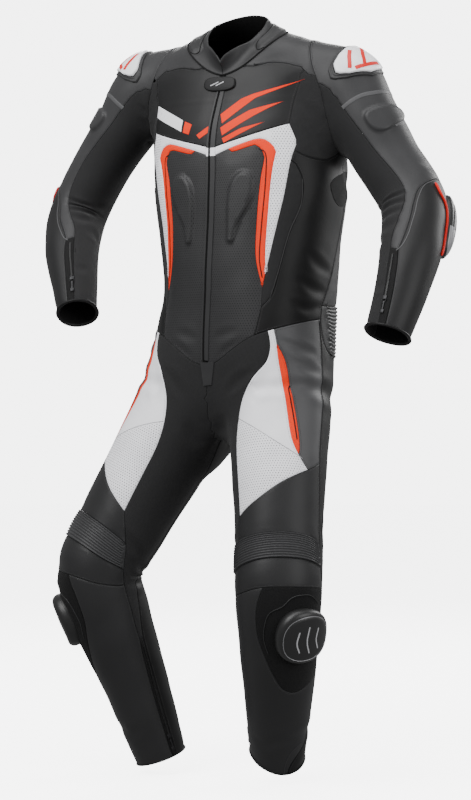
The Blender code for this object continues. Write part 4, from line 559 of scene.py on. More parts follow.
class Sheet:
    def __init__(self, surface, world, step):
        self.surface, self.world, self.step = surface, world, step
        self.uv, self.ids, self.lines, self.kinds = [], [], {}, {}

    def vertex(self, uv, worldId=-1):
        self.uv.append((float(uv[0]), float(uv[1])))
        self.ids.append(worldId)
        return len(self.uv) - 1

    def xy(self, verts):
        return self.surface.flat(np.array([self.uv[i] for i in verts]))

    def meet(self, uv, name):
        # the vertex where a seam's end joins a line, added there if none is near;
        # a starred line is joined at its nearest vertex
        p = self.surface.flat(np.array([uv]))[0]
        if name.endswith("*"):
            verts = self.lines[name[:-1]]
            return verts[int(np.linalg.norm(self.xy(verts) - p, axis=1).argmin())]
        best = None
        for line, verts in self.lines.items():
            if not line.startswith(name):
                continue
            q = self.xy(verts)
            a, d = q[:-1], q[1:] - q[:-1]
            s = np.clip(((p - a)*d).sum(1)/np.maximum((d*d).sum(1), 1e-12), 0, 1)
            gap = np.linalg.norm(a + s[:, None]*d - p, axis=1)
            k = int(gap.argmin())
            if best is None or gap[k] < best[0]:
                best = (gap[k], verts[k], verts[k + 1], s[k])
        _, a, b, s = best
        xy = self.xy([a, b])
        length = np.linalg.norm(xy[1] - xy[0])
        snap = min(0.35*self.step, 0.004)
        if s*length < snap or (1 - s)*length < snap:
            return a if s < 0.5 else b
        new = self.vertex(self.surface.unflat((xy[0] + s*(xy[1] - xy[0]))[None])[0])
        self.insert(a, b, new)
        return new

    def insert(self, a, b, new):
        for verts in self.lines.values():
            for k in range(len(verts) - 1):
                if {verts[k], verts[k + 1]} == {a, b}:
                    verts.insert(k + 1, new)
                    break

    def seam(self, name, points, start=None, end=None, kind="seam", step=None, closed=False):
        line = smoothLine(points, self.surface, step or self.step, closed)
        if closed:
            verts = [self.vertex(q) for q in line]
            verts.append(verts[0])
        else:
            first = self.meet(line[0], start) if start else self.vertex(line[0])
            last = self.meet(line[-1], end) if end else self.vertex(line[-1])
            verts = [first] + [self.vertex(q) for q in line[1:-1]] + [last]
        self.lines[name], self.kinds[name] = verts, kind

    def split(self, name, measure):
        # adds a vertex on a line where a measure of its chart points passes zero
        verts = self.lines[name]
        off = measure(np.array([self.uv[i] for i in verts]))
        for k in range(len(verts) - 1):
            if off[k]*off[k + 1] > 0 or abs(off[k] - off[k + 1]) > 60:
                continue
            a, b = self.xy(verts[k:k + 2])
            lo, hi = 0.0, 1.0
            for _ in range(30):
                m = (lo + hi)/2
                here = measure(self.surface.unflat((a + m*(b - a))[None]))[0]
                lo, hi = (m, hi) if here*off[k] > 0 else (lo, m)
            for j, away in ((k, lo), (k + 1, 1 - lo)):
                if away*np.linalg.norm(b - a) < 1e-4:
                    return verts[j]
            new = self.vertex(self.surface.unflat((a + lo*(b - a))[None])[0])
            verts.insert(k + 1, new)
            return new
        raise ValueError("no place on " + name)

    def settle(self):
        # every vertex of a line gets its place in the world
        verts = sorted({i for line in self.lines.values() for i in line if self.ids[i] < 0})
        if verts:
            p = self.surface.point(np.array([self.uv[i] for i in verts]))
            for i, g in zip(verts, self.world.add(p)):
                self.ids[i] = g

    def cut(self, low, high, vs, firstLow, firstHigh):
        # the chart's own cut: the same points once at each end
        angle = np.full(len(vs), low)
        p = self.surface.point(np.column_stack([angle, vs]))
        ids = self.world.add(p)
        for name, u, first in (("cutLow", low, firstLow), ("cutHigh", high, firstHigh)):
            self.lines[name] = [first] + [self.vertex((u, v), g) for v, g in zip(vs, ids)]
            self.kinds[name] = "cut"

    def fill(self, spacing, clear=0.62):
        # free points in rows, away from every line
        low, high = self.surface.chart.low, self.surface.chart.high
        cell = spacing*clear*0.5
        xy = self.xy(range(len(self.uv)))
        lo = xy.min(0) - 2*spacing
        size = np.ceil((xy.max(0) + 2*spacing - lo)/cell).astype(int) + 1
        taken = np.zeros(size, bool)
        k = np.floor((xy - lo)/cell).astype(int)
        taken[k[:, 0], k[:, 1]] = True
        for verts in self.lines.values():
            q = self.xy(verts)
            for a, b in zip(q[:-1], q[1:]):
                n = int(np.linalg.norm(b - a)/(cell*0.7)) + 2
                k = np.floor((a + (b - a)*np.linspace(0, 1, n)[:, None] - lo)/cell).astype(int)
                taken[k[:, 0], k[:, 1]] = True
        near = np.zeros_like(taken)
        for dx in (-1, 0, 1):
            for dy in (-1, 0, 1):
                near |= np.roll(np.roll(taken, dx, 0), dy, 1)
        rows = []
        for k, y in enumerate(np.arange(low[1], high[1] + 0.03, spacing*0.866)):
            g = float(self.surface.chart.girth(np.array([y]))[0])
            a, b = radians(low[0])*g, radians(high[0])*g
            n = max(3, int((b - a)/spacing))
            xs = a + (np.arange(n) + (0.25 if k % 2 else 0.75))*(b - a)/n
            rows.append(np.column_stack([xs, np.full(n, y)]))
        pts = np.vstack(rows)
        k = np.clip(np.floor((pts - lo)/cell).astype(int), 0, size - 1)
        for q in self.surface.unflat(pts[~near[k[:, 0], k[:, 1]]]):
            self.vertex(q)

    def triangulate(self):
        edges, owner = [], []
        for name, verts in self.lines.items():
            for a, b in zip(verts[:-1], verts[1:]):
                edges.append((a, b))
                owner.append(name)
        pts = [Vector(p) for p in self.xy(range(len(self.uv)))]
        verts, outEdges, faces, src, edgeSource, _ = delaunay_2d_cdt(pts, edges, [], 0, 1e-6)
        self.outUv = self.surface.unflat(np.array([(v.x, v.y) for v in verts]))
        ids = [max([self.ids[s] for s in group], default=-1) for group in src]
        new = [k for k, g in enumerate(ids) if g < 0]
        uv = self.outUv[new]
        for k, g in zip(new, self.world.add(self.surface.point(uv))):
            ids[k] = g
        self.outIds = np.array(ids)
        self.faces = np.array([f for f in faces if len(f) == 3])
        self.over = {}
        for e, group in zip(outEdges, edgeSource):
            for s in group:
                self.over.setdefault(owner[s], set()).add((min(e), max(e)))
        seams = [n for n, kind in self.kinds.items() if kind != "crease"]
        self.stops = set().union(*[self.over[n] for n in seams])
        self.edgeFaces = {}
        for i, f in enumerate(self.faces):
            for a, b in zip(f, np.roll(f, -1)):
                self.edgeFaces.setdefault((min(a, b), max(a, b)), []).append(i)
        a, b, c = [np.array(self.world.points)[self.outIds[self.faces[:, k]]] for k in range(3)]
        ref = self.surface.chart.line(self.outUv[self.faces[:, 0]])[1]
        if ((np.cross(b - a, c - a)*ref).sum(1) < 0).mean() > 0.5:
            self.faces = self.faces[:, ::-1]

    def flood(self, seed):
        # the faces round a seed, up to the seams
        xy = self.surface.flat(self.outUv)
        p = self.surface.flat(np.array([seed], float))[0]
        tri = xy[self.faces]
        turn = np.array([(tri[:, (k + 1) % 3, 0] - tri[:, k, 0])*(p[1] - tri[:, k, 1])
                         - (tri[:, (k + 1) % 3, 1] - tri[:, k, 1])*(p[0] - tri[:, k, 0])
                         for k in range(3)])
        inside = (turn >= -1e-12).all(0) | (turn <= 1e-12).all(0)
        start = int(np.nonzero(inside)[0][0])
        seen, todo = {start}, [start]
        while todo:
            f = self.faces[todo.pop()]
            for a, b in zip(f, np.roll(f, -1)):
                key = (min(a, b), max(a, b))
                if key not in self.stops:
                    for g in self.edgeFaces[key]:
                        if g not in seen:
                            seen.add(g)
                            todo.append(g)
        return sorted(seen)

    def refine(self):
        # halves every edge once
        f = self.faces
        pairs = np.sort(np.vstack([f[:, [0, 1]], f[:, [1, 2]], f[:, [2, 0]]]), axis=1)
        edges, back = np.unique(pairs, axis=0, return_inverse=True)
        uv = (self.outUv[edges[:, 0]] + self.outUv[edges[:, 1]])/2
        ends = self.outIds[edges].tolist()
        ids = [self.world.middle(a, b, p) for (a, b), p in zip(ends, self.surface.point(uv))]
        ab, bc, ca = back.reshape(3, -1) + len(self.outUv)
        a, b, c = f.T
        self.fine = np.stack([np.column_stack(t) for t in
                              ((a, ab, ca), (b, bc, ab), (c, ca, bc), (ab, bc, ca))], axis=1)
        self.outUv = np.vstack([self.outUv, uv])
        self.outIds = np.concatenate([self.outIds, ids])

    def piece(self, seeds):
        # the fine triangles of a panel
        kept = sorted({i for seed in seeds for i in self.flood(seed)})
        return self.fine[kept].reshape(-1, 3)


def armholeRing(form, side, surface, step):
    mid, rise, drop = armholePlanes[side]
    rise, drop = unit(np.array([rise[0], 0, rise[1]])), unit(np.array([drop[0], 0, drop[1]]))

    def at(a):
        a = np.asarray(a, float)
        up = np.where((np.sin(a) > 0)[:, None], rise, -drop)
        ray = unit(np.cos(a)[:, None]*np.array([0, -1.0, 0]) + np.sin(a)[:, None]*up)
        start = np.repeat(np.array([mid]), len(a), 0)
        return start + form.cast(start, ray)[:, None]*ray

    a = np.linspace(0, 2*np.pi, 181)
    u = surface.chart.back(at(a))[:, 0]
    k = int(np.argmax(np.abs(np.diff(u))))         # where the sleeve's chart is cut
    lo, hi = a[k], a[k + 1]
    for _ in range(24):
        m = (lo + hi)/2
        same = abs(surface.chart.back(at([m]))[0, 0] - u[k]) < 90
        lo, hi = (m, hi) if same else (lo, m)
    ring = spaced(at(lo + np.linspace(0, 2*np.pi, 241)), step, True)
    if surface.chart.back(ring[1:2])[0, 0] > 90:
        ring = np.vstack([ring[:1], ring[1:][::-1]])
    return ring


def insideDistance(outline, surface, uv):
    # how far chart points lie inside a closed outline, 0 outside
    poly = surface.flat(smoothLine(outline, surface, 0.006, True))
    p = surface.flat(uv)
    a, b = poly, np.roll(poly, -1, 0)
    d = b - a
    s = np.clip(((p[:, None] - a)*d).sum(2)/(d*d).sum(1), 0, 1)
    gap = np.linalg.norm(a + s[:, :, None]*d - p[:, None], axis=2).min(1)
    up = (a[:, 1] > p[:, None, 1]) != (b[:, 1] > p[:, None, 1])
    cross = a[:, 0] + (p[:, None, 1] - a[:, 1])/np.where(d[:, 1] == 0, 1e-12, d[:, 1])*d[:, 0]
    inside = ((up & (p[:, None, 0] < cross)).sum(1) % 2) == 1
    return np.where(inside, gap, 0)


def addPad(sheet, name, outline):
    # two loops that hold a raised pad's foot and its top edge
    sheet.seam(name, outline, kind="crease", step=sheet.step*0.75, closed=True)
    flat = sheet.surface.flat(smoothLine(outline, sheet.surface, sheet.step*0.75, True))
    back, ahead = np.roll(flat, 1, 0), np.roll(flat, -1, 0)
    side = unit(ahead - back)[:, ::-1]*np.array([-1, 1])
    if ((flat - flat.mean(0))*side).sum() > 0:
        side = -side
    inner = sheet.surface.unflat(flat + side*padEdge*1.02)
    verts = [sheet.vertex(q) for q in inner]
    sheet.lines[name + "Top"], sheet.kinds[name + "Top"] = verts + [verts[0]], "crease"


def padLift(outline, surface, uv, high=padHeight):
    d = np.clip(insideDistance(outline, surface, uv)/padEdge, 0, 1)
    return high*d*d*(3 - 2*d)


class Ribs:
    # parallel ribs between two seams of a chart
    def __init__(self, top, low, count, margin):
        self.top, self.low = np.array(top, float), np.array(low, float)
        self.count, self.margin = count, margin

    def edges(self, u):
        a = smoothRows(self.top, np.clip(u, self.top[0, 0], self.top[-1, 0]))[:, 0]
        b = smoothRows(self.low, np.clip(u, self.low[0, 0], self.low[-1, 0]))[:, 0]
        return a, b

    def ends(self, fraction):
        start = self.top[0, 0] + (self.low[0, 0] - self.top[0, 0])*fraction
        stop = self.top[-1, 0] + (self.low[-1, 0] - self.top[-1, 0])*fraction
        return start + self.margin, stop - self.margin

    def lift(self, uv):
        a, b = self.edges(uv[:, 0])
        f = np.clip((uv[:, 1] - a)/(b - a), 0, 1)
        wave = np.sqrt(1 - np.abs(2*((f*self.count) % 1) - 1))
        start, stop = self.ends(f)
        room = np.minimum(uv[:, 0] - start, stop - uv[:, 0]) + self.margin
        return ribHeight*wave*np.clip(room/self.margin, 0, 1)

    def draw(self, sheet, name, spacing):
        for k in range(1, 2*self.count):
            f = k/(2*self.count)
            start, stop = self.ends(f)
            girth = float(sheet.surface.chart.girth(self.top[:1, 1])[0])
            n = max(3, int(round(radians(stop - start)*girth/spacing)))
            u = np.linspace(start, stop, n + 1)
            a, b = self.edges(u)
            verts = [sheet.vertex(q) for q in np.column_stack([u, a + (b - a)*f])]
            sheet.lines["%s%d" % (name, k)] = verts
            sheet.kinds["%s%d" % (name, k)] = "crease"
# the suit
def cutTorso(world, surface, arms, legs):
    step = pointStep["torso"]
    sheet = Sheet(surface, world, step)
    sheet.seam("neck", otherSide(neckLine[::-1], -1)[:-1] + neckLine, kind="edge", step=step*0.6)
    sheet.split("neck", lambda uv: uv[:, 0])
    front = smoothLine(otherSide(waistFrontLine[::-1], -1)[:-1] + waistFrontLine, surface, step)
    left = smoothLine(waistBackLine, surface, step)
    right = smoothLine(otherSide(waistBackLine[::-1], -1), surface, step)
    sheet.lines["waist"] = [sheet.vertex(q) for q in np.vstack([right[:-1], front, left[1:]])]
    sheet.kinds["waist"] = "edge"
    vs = []
    for a, b in zip(backStops[:-1], backStops[1:]):
        vs += list(np.linspace(a, b, max(2, int(round((a - b)/step))) + 1)[:-1])
    vs.append(backStops[-1])
    p = surface.point(np.array([(180.0, v) for v in vs]))
    ids = world.add(p)
    for name, u, end in (("back_left", 180.0, -1), ("back_right", -180.0, 0)):
        verts = [sheet.vertex((u, v), g) for v, g in zip(vs, ids)]
        sheet.lines["neck"][end], sheet.lines["waist"][end] = verts[0], verts[-1]
        sheet.lines[name], sheet.kinds[name] = verts, "cut"
    for side in arms:
        p = armholeRing(surface.chart.form, side, arms[side], step*0.75)
        ids = world.add(p)
        verts = [sheet.vertex(q, g) for q, g in zip(surface.chart.back(p), ids)]
        sheet.lines["armhole_" + side] = verts + [verts[0]]
        sheet.kinds["armhole_" + side] = "edge"
    for s, side in ((1, "left"), (-1, "right")):
        u = s*zipHalf
        sheet.seam("zip_" + side, turnChest([(u, v) for v in zipStops]), "neck", "waist")
    for name, (pts, start, end) in torsoSeams.items():
        for s, side in ((1, "left"), (-1, "right")):
            tag = "_" + side
            sheet.seam(name + tag, turnChest(otherSide(pts, s)),
                       start and start + ("" if start in ("neck", "waist") else tag),
                       end and end + ("" if end in ("neck", "waist") else tag))
    sheet.split("waist", lambda uv: uv[:, 0])
    cuts = {}
    for side, keep in (("left", 1), ("right", -1)):
        def behind(uv, chart=legs[side].chart, keep=keep):
            u = chart.back(surface.point(uv))[:, 0] % 360 - 180
            return np.where(keep*uv[:, 0] > 60, u, 99.0)
        cuts[side] = sheet.split("waist", behind)
    sheet.settle()
    for s, side in ((1, "left"), (-1, "right")):
        addPad(sheet, "pad_" + side, turnChest(otherSide(frontPad, s)))
    ribs = BackRibs()
    ribs.draw(sheet, "rib", step)
    return sheet, cuts, ribs


class BackRibs:
    # ribs across the small of the back, mirrored about its middle
    margin = 4.0

    def edges(self, away):
        top = [(180 - u, v) for u, v in torsoSeams["ribsTop"][0]][::-1]
        low = [(180 - u, v) for u, v in waistBackLine[1:]][::-1]
        a = smoothRows(top, np.clip(away, 0, 89))[:, 0]
        b = smoothRows(low, np.clip(away, 0, 87))[:, 0]
        return a, b

    def lift(self, uv):
        away = 180 - np.abs(uv[:, 0])
        a, b = self.edges(away)
        f = np.clip((uv[:, 1] - a)/(b - a), 0, 1)
        wave = np.sqrt(1 - np.abs(2*((f*backRibCount) % 1) - 1))
        reach = 86 - 6*f
        return ribHeight*wave*np.clip((reach - away)/self.margin, 0, 1)

    def draw(self, sheet, name, spacing):
        for k in range(1, 2*backRibCount):
            f = k/(2*backRibCount)
            reach = 86 - 6*f - self.margin
            n = int(round(radians(reach)*0.165/spacing))
            away = np.linspace(0, reach, n + 1)
            a, b = self.edges(away)
            v = a + (b - a)*f
            ids = self.middle(sheet, v[0])
            for s, side in ((1, "left"), (-1, "right")):
                verts = [ids[side]] + [sheet.vertex((s*(180 - w), y))
                                       for w, y in zip(away[1:], v[1:])]
                sheet.lines["%s%d_%s" % (name, k, side)] = verts
                sheet.kinds["%s%d_%s" % (name, k, side)] = "crease"

    def middle(self, sheet, v):
        # the same point at both ends of the chart, put into the chart's cut
        p = sheet.surface.point(np.array([(180.0, v)]))
        g = sheet.world.add(p)[0]
        ids = {}
        for side, u in (("left", 180.0), ("right", -180.0)):
            line = sheet.lines["back_" + side]
            near = [i for i in line if abs(sheet.uv[i][1] - v) < 0.0004]
            if near:
                ids[side] = near[0]
                continue
            new = sheet.vertex((u, v), g)
            k = next(k for k in range(len(line)) if sheet.uv[line[k]][1] < v)
            line.insert(k, new)
            ids[side] = new
        return ids


def cutArm(world, surface, torso, side):
    sheet = Sheet(surface, world, pointStep["arm"])
    ring = [torso.ids[i] for i in torso.lines["armhole_" + side]]
    uv = surface.chart.back(np.array([world.points[g] for g in ring]))
    low, high = surface.chart.low[0], surface.chart.high[0]
    uv[0, 0], uv[-1, 0] = low, high
    sheet.lines["armhole"] = [sheet.vertex(q, g) for q, g in zip(uv, ring)]
    sheet.kinds["armhole"] = "edge"
    count = int((armLength - uv[0, 1])/sheet.step)
    vs = np.linspace(uv[0, 1], armLength, count + 1)[1:]
    sheet.cut(low, high, vs, sheet.lines["armhole"][0], sheet.lines["armhole"][-1])
    sheet.seam("cuff", [(low, armLength), (90, armLength), (high, armLength)], kind="edge",
               step=sheet.step*0.8)
    sheet.lines["cuff"][0] = sheet.lines["cutLow"][-1]
    sheet.lines["cuff"][-1] = sheet.lines["cutHigh"][-1]
    for name, (pts, start, end) in sleeveSeams.items():
        sheet.seam(name, pts, start, end)
    sheet.settle()
    addPad(sheet, "pad", sleevePad)
    return sheet


def middleLine(form, start, end, step):
    (topX, topZ), (lowX, lowZ) = crotchPlane
    down = unit(np.array([lowX - topX, 0, lowZ - topZ]))
    front = np.array([-np.sin(radians(10)), -np.cos(radians(10)), 0])
    mid = np.array([topX + (lowX - topX)*0.1, 0.033, topZ + (lowZ - topZ)*0.1])
    ends = [np.arctan2((p - mid)@down, (p - mid)@front) for p in (start, end)]
    a = np.linspace(ends[0], ends[1], 90)[:, None]
    ray = unit(np.cos(a)*front + np.sin(a)*down)
    line = mid + form.cast(np.repeat(mid[None], 90, 0), ray, rounds=24)[:, None]*ray
    line[0], line[-1] = start, end
    return spaced(line, step, False)


def cutLegs(world, surfaces, torso, cuts):
    waist = torso.lines["waist"]
    centre = int(np.argmin([abs(torso.uv[i][0]) for i in waist]))
    form = surfaces["left"].chart.form
    ends = [torso.ids[waist[centre]], torso.ids[waist[-1]]]
    p = middleLine(form, world.points[ends[0]], world.points[ends[1]], pointStep["leg"]*0.8)
    inner = world.add(p[1:-1])
    sheets = {}
    for side in ("left", "right"):
        surface = surfaces[side]
        sheet = Sheet(surface, world, pointStep["leg"])
        part = waist[centre:] if side == "left" else waist[:centre + 1][::-1]
        k = part.index(cuts[side])
        ids = [torso.ids[i] for i in part]
        uv = surface.chart.back(np.array([world.points[g] for g in ids]))
        first, second = uv[:k + 1].copy(), uv[k:].copy()
        first[-1, 0], second[0, 0] = 180, -180
        sheet.lines["waistFront"] = [sheet.vertex(q, g) for q, g in zip(first, ids[:k + 1])]
        sheet.lines["waistBack"] = [sheet.vertex(q, g) for q, g in zip(second, ids[k:])]
        uv = surface.chart.back(p[1:-1])
        sheet.lines["mid"] = ([sheet.lines["waistFront"][0]]
                              + [sheet.vertex(q, g) for q, g in zip(uv, inner)]
                              + [sheet.lines["waistBack"][-1]])
        for name in ("waistFront", "waistBack", "mid"):
            sheet.kinds[name] = "edge"
        low = hemLines[side][0][1]
        vs = np.linspace(first[-1, 1], low, int((low - first[-1, 1])/sheet.step) + 1)[1:]
        sheet.cut(-180, 180, vs, sheet.lines["waistBack"][0], sheet.lines["waistFront"][-1])
        sheet.seam("hem", hemLines[side], kind="edge", step=sheet.step*0.8)
        sheet.lines["hem"][0] = sheet.lines["cutLow"][-1]
        sheet.lines["hem"][-1] = sheet.lines["cutHigh"][-1]
        for name, (pts, start, end) in legSeams.items():
            start = "waistFront" if start == "waist" else start
            sheet.seam(name, pts, start, end)
        sheets[side] = sheet
    # seams that end on the line between the legs add points to it, shared by both legs
    for side, other in (("left", "right"), ("right", "left")):
        a, b = sheets[side], sheets[other]
        for k, i in enumerate(a.lines["mid"]):
            if a.ids[i] < 0:
                p = a.surface.point(np.array([a.uv[i]]))
                before, after = a.ids[a.lines["mid"][k - 1]], a.ids[a.lines["mid"][k + 1]]
                a.ids[i] = world.add(p)[0]
                pair = [j for j in b.lines["mid"] if b.ids[j] in (before, after)]
                b.insert(pair[0], pair[1], b.vertex(b.surface.chart.back(p)[0], a.ids[i]))
    ribs = Ribs(legSeams["ribsTop"][0], legSeams["ribsLow"][0], kneeRibCount, 6.0)
    for sheet in sheets.values():
        sheet.settle()
        ribs.draw(sheet, "rib", sheet.step)
    return sheets, ribs


# finishes
def newFinish(name, color, rough, metal=0.0, spec=0.5):
    mat = bpy.data.materials.new(name)
    mat.use_nodes = True
    bsdf = mat.node_tree.nodes["Principled BSDF"]
    bsdf.inputs["Base Color"].default_value = (*color, 1)
    bsdf.inputs["Roughness"].default_value = rough
    bsdf.inputs["Metallic"].default_value = metal
    bsdf.inputs["Specular IOR Level"].default_value = spec
    mat.diffuse_color = (*color, 1)
    return mat, mat.node_tree, bsdf


def addNode(tree, kind, links=(), **values):
    # a node with its settings, and (socket, source) links into it
    node = tree.nodes.new(kind)
    for key, value in values.items():
        if key in node.inputs:
            node.inputs[key].default_value = value
        else:
            setattr(node, key, value)
    for socket, source in links:
        tree.links.new(source, node.inputs[socket])
    return node


def addBump(tree, bsdf, height, strength, distance, under=None):
    links = [("Height", height)] + ([("Normal", under)] if under else [])
    bump = addNode(tree, "ShaderNodeBump", links, Strength=strength, Distance=distance)
    tree.links.new(bump.outputs[0], bsdf.inputs["Normal"])
    return bump.outputs[0]


def makeLeather(name, color, rough, spec, punched=False):
    # grained leather; a punched one has holes where the piece's attribute says so
    mat, tree, bsdf = newFinish(name, color, rough, 0.0, spec)
    place = addNode(tree, "ShaderNodeTexCoord")
    grain = addNode(tree, "ShaderNodeTexVoronoi", [("Vector", place.outputs["Object"])],
                    feature="SMOOTH_F1", Scale=620.0)
    soft = addNode(tree, "ShaderNodeTexNoise", [("Vector", place.outputs["Object"])],
                   Scale=14.0, Detail=4.0)
    tone = addNode(tree, "ShaderNodeMapRange", [("Value", soft.outputs["Fac"])])
    tone.inputs["To Min"].default_value = 0.86
    tone.inputs["To Max"].default_value = 1.14
    shade = addNode(tree, "ShaderNodeMix", data_type="RGBA", blend_type="MULTIPLY")
    shade.inputs["Factor"].default_value = 1.0
    shade.inputs["A"].default_value = (*color, 1)
    tree.links.new(tone.outputs[0], shade.inputs["B"])
    tree.links.new(shade.outputs["Result"], bsdf.inputs["Base Color"])
    matt = addNode(tree, "ShaderNodeMapRange", [("Value", soft.outputs["Fac"])])
    matt.inputs["To Min"].default_value = rough - 0.05
    matt.inputs["To Max"].default_value = rough + 0.07
    tree.links.new(matt.outputs[0], bsdf.inputs["Roughness"])
    under = addBump(tree, bsdf, grain.outputs["Distance"], 0.22, 0.0006)
    if punched:
        dots = punchedDots(tree)
        mark = addNode(tree, "ShaderNodeAttribute", attribute_name="holes")
        both = addNode(tree, "ShaderNodeMath", operation="MULTIPLY")
        tree.links.new(dots, both.inputs[0])
        tree.links.new(mark.outputs["Fac"], both.inputs[1])
        dark = addNode(tree, "ShaderNodeMix", data_type="RGBA")
        tree.links.new(both.outputs[0], dark.inputs["Factor"])
        tree.links.new(shade.outputs["Result"], dark.inputs["A"])
        dark.inputs["B"].default_value = (*(0.06*c for c in color), 1)
        tree.links.new(dark.outputs["Result"], bsdf.inputs["Base Color"])
        turned = addNode(tree, "ShaderNodeMath", operation="MULTIPLY")
        tree.links.new(both.outputs[0], turned.inputs[0])
        turned.inputs[1].default_value = -1.0
        addBump(tree, bsdf, turned.outputs[0], 0.8, 0.0006, under)
    return mat


def punchedDots(tree, pitch=0.0056, radius=0.17):
    # staggered rows of small round holes on the panel's flat chart, 1 inside a hole
    flat = addNode(tree, "ShaderNodeUVMap", uv_map="flat")
    found = []
    for shift in (0.0, 0.5):
        scaled = addNode(tree, "ShaderNodeVectorMath", operation="MULTIPLY_ADD")
        tree.links.new(flat.outputs[0], scaled.inputs[0])
        scaled.inputs[1].default_value = (1/pitch, 1/(pitch*1.73), 0)
        scaled.inputs[2].default_value = (shift + 40, shift + 40, 0)
        cell = addNode(tree, "ShaderNodeVectorMath", operation="FRACTION")
        tree.links.new(scaled.outputs[0], cell.inputs[0])
        centred = addNode(tree, "ShaderNodeVectorMath", operation="MULTIPLY_ADD")
        tree.links.new(cell.outputs[0], centred.inputs[0])
        centred.inputs[1].default_value = (1, 1.73, 0)
        centred.inputs[2].default_value = (-0.5, -0.865, 0)
        away = addNode(tree, "ShaderNodeVectorMath", operation="LENGTH")
        tree.links.new(centred.outputs[0], away.inputs[0])
        found.append(away.outputs["Value"])
    least = addNode(tree, "ShaderNodeMath", operation="MINIMUM")
    tree.links.new(found[0], least.inputs[0])
    tree.links.new(found[1], least.inputs[1])
    hole = addNode(tree, "ShaderNodeMath", [(0, least.outputs[0])], operation="LESS_THAN")
    hole.inputs[1].default_value = radius
    return hole.outputs[0]


def makeWeave(name, color, rough, pitch, strength, sheen=0.0):
    mat, tree, bsdf = newFinish(name, color, rough, 0.0, 0.25)
    flat = addNode(tree, "ShaderNodeUVMap", uv_map="flat")
    wave = addNode(tree, "ShaderNodeTexWave", [("Vector", flat.outputs[0])],
                   bands_direction="Y", Scale=0.314/pitch, Distortion=0.6)
    wave.inputs["Detail Scale"].default_value = 60.0
    place = addNode(tree, "ShaderNodeTexCoord")
    fuzz = addNode(tree, "ShaderNodeTexNoise", [("Vector", place.outputs["Object"])],
                   Scale=900.0, Detail=2.0)
    under = addBump(tree, bsdf, fuzz.outputs["Fac"], 0.3, 0.0006)
    addBump(tree, bsdf, wave.outputs["Fac"], strength, 0.0008, under)
    bsdf.inputs["Sheen Weight"].default_value = sheen
    bsdf.inputs["Sheen Roughness"].default_value = 0.5
    return mat


def makePlastic(name, color, rough, metal=0.0):
    mat, tree, bsdf = newFinish(name, color, rough, metal)
    place = addNode(tree, "ShaderNodeTexCoord")
    fine = addNode(tree, "ShaderNodeTexNoise", [("Vector", place.outputs["Object"])],
                   Scale=420.0, Detail=2.0)
    addBump(tree, bsdf, fine.outputs["Fac"], 0.08, 0.0004)
    return mat


def greyOf(value):
    return value, value, value*1.04


look = {"charcoal": 0.029, "dark": 0.0072, "white": 0.98, "stretch": 0.0165, "grip": 0.0060,
        "tape": 0.0040, "grey": 0.075,
        "orange": (0.93, 0.038, 0.005), "red": (0.66, 0.012, 0.008)}
# lit and shaded copies of the charcoal leather, one grey for each panel: each is set lighter or
# darker than its leather to paint in the light and shade that panel gets
litAndShadedTones = {"collar": 0.024, "chest": 0.0130, "yoke": 0.034, "sleeve_upper": 0.036,
              "forearm": 0.0145, "hip": 0.066, "knee_upper": 0.019, "knee_ribs": 0.040,
              "knee_top": 0.019, "shin": 0.020}
finishes = {
    "charcoal leather": makeLeather("charcoal leather", greyOf(look["charcoal"]), 0.46, 0.26),
    "punched leather": makeLeather("punched leather", greyOf(look["charcoal"]), 0.46, 0.26, True),
    "dark leather": makeLeather("dark leather", greyOf(look["dark"]), 0.48, 0.20),
    "white leather": makeLeather("white leather", greyOf(look["white"]), 0.50, 0.35, True),
    "orange leather": makeLeather("orange leather", look["orange"], 0.60, 0.12),
    "red leather": makeLeather("red leather", look["red"], 0.5, 0.25),
    "grey band": makeLeather("grey band", greyOf(look["grey"]), 0.5, 0.30),
    "mark red": makePlastic("mark red", look["red"], 0.40),
    "mark light": makePlastic("mark light", greyOf(0.42), 0.50),
    "lining": makeWeave("lining", greyOf(0.0015), 0.95, 0.0015, 0.3),
    "black stretch": makeWeave("black stretch", greyOf(look["stretch"]), 0.85, 0.0022, 0.5, 0.06),
    "black grip": makeWeave("black grip", greyOf(look["grip"]), 0.97, 0.0012, 0.7, 0.03),
    "zip tape": makeWeave("zip tape", greyOf(look["tape"]), 0.8, 0.0010, 0.4, 0.05),
    "white plastic": makePlastic("white plastic", (0.95, 0.95, 0.98), 0.30),
    "black plastic": makePlastic("black plastic", greyOf(0.0095), 0.42),
    "grey plastic": makePlastic("grey plastic", greyOf(0.26), 0.40, 0.2),
    "zip metal": makePlastic("zip metal", greyOf(0.035), 0.45, 1.0),
    "thread grey": newFinish("thread grey", greyOf(0.018), 0.7)[0],
    "thread white": newFinish("thread white", greyOf(0.60), 0.7)[0],
    "thread orange": newFinish("thread orange", (0.60, 0.04, 0.01), 0.7)[0],
}
# the lit and shaded copies of the leather for the panels above: painted light and shade
for piece, tone in litAndShadedTones.items():
    finishes[piece] = makeLeather(piece.replace("_", " ") + " leather", greyOf(tone), 0.47, 0.24)


# cloth
cloth = {"wall": 0.0020, "shoulder": 0.0020, "dip": 0.0013, "round": 0.0004,
         "gap": 0.00012, "puff": 0.0009, "puffReach": 0.016, "wave": 0.0005,
         "relax": (("armhole", 0.034, 16, 1.0), ("mid", 0.075, 60, -0.665)), "relaxShare": 0.6,
         "crotchHeight": -0.797, "crotchReach": 0.080, "crotchSide": 0.026}


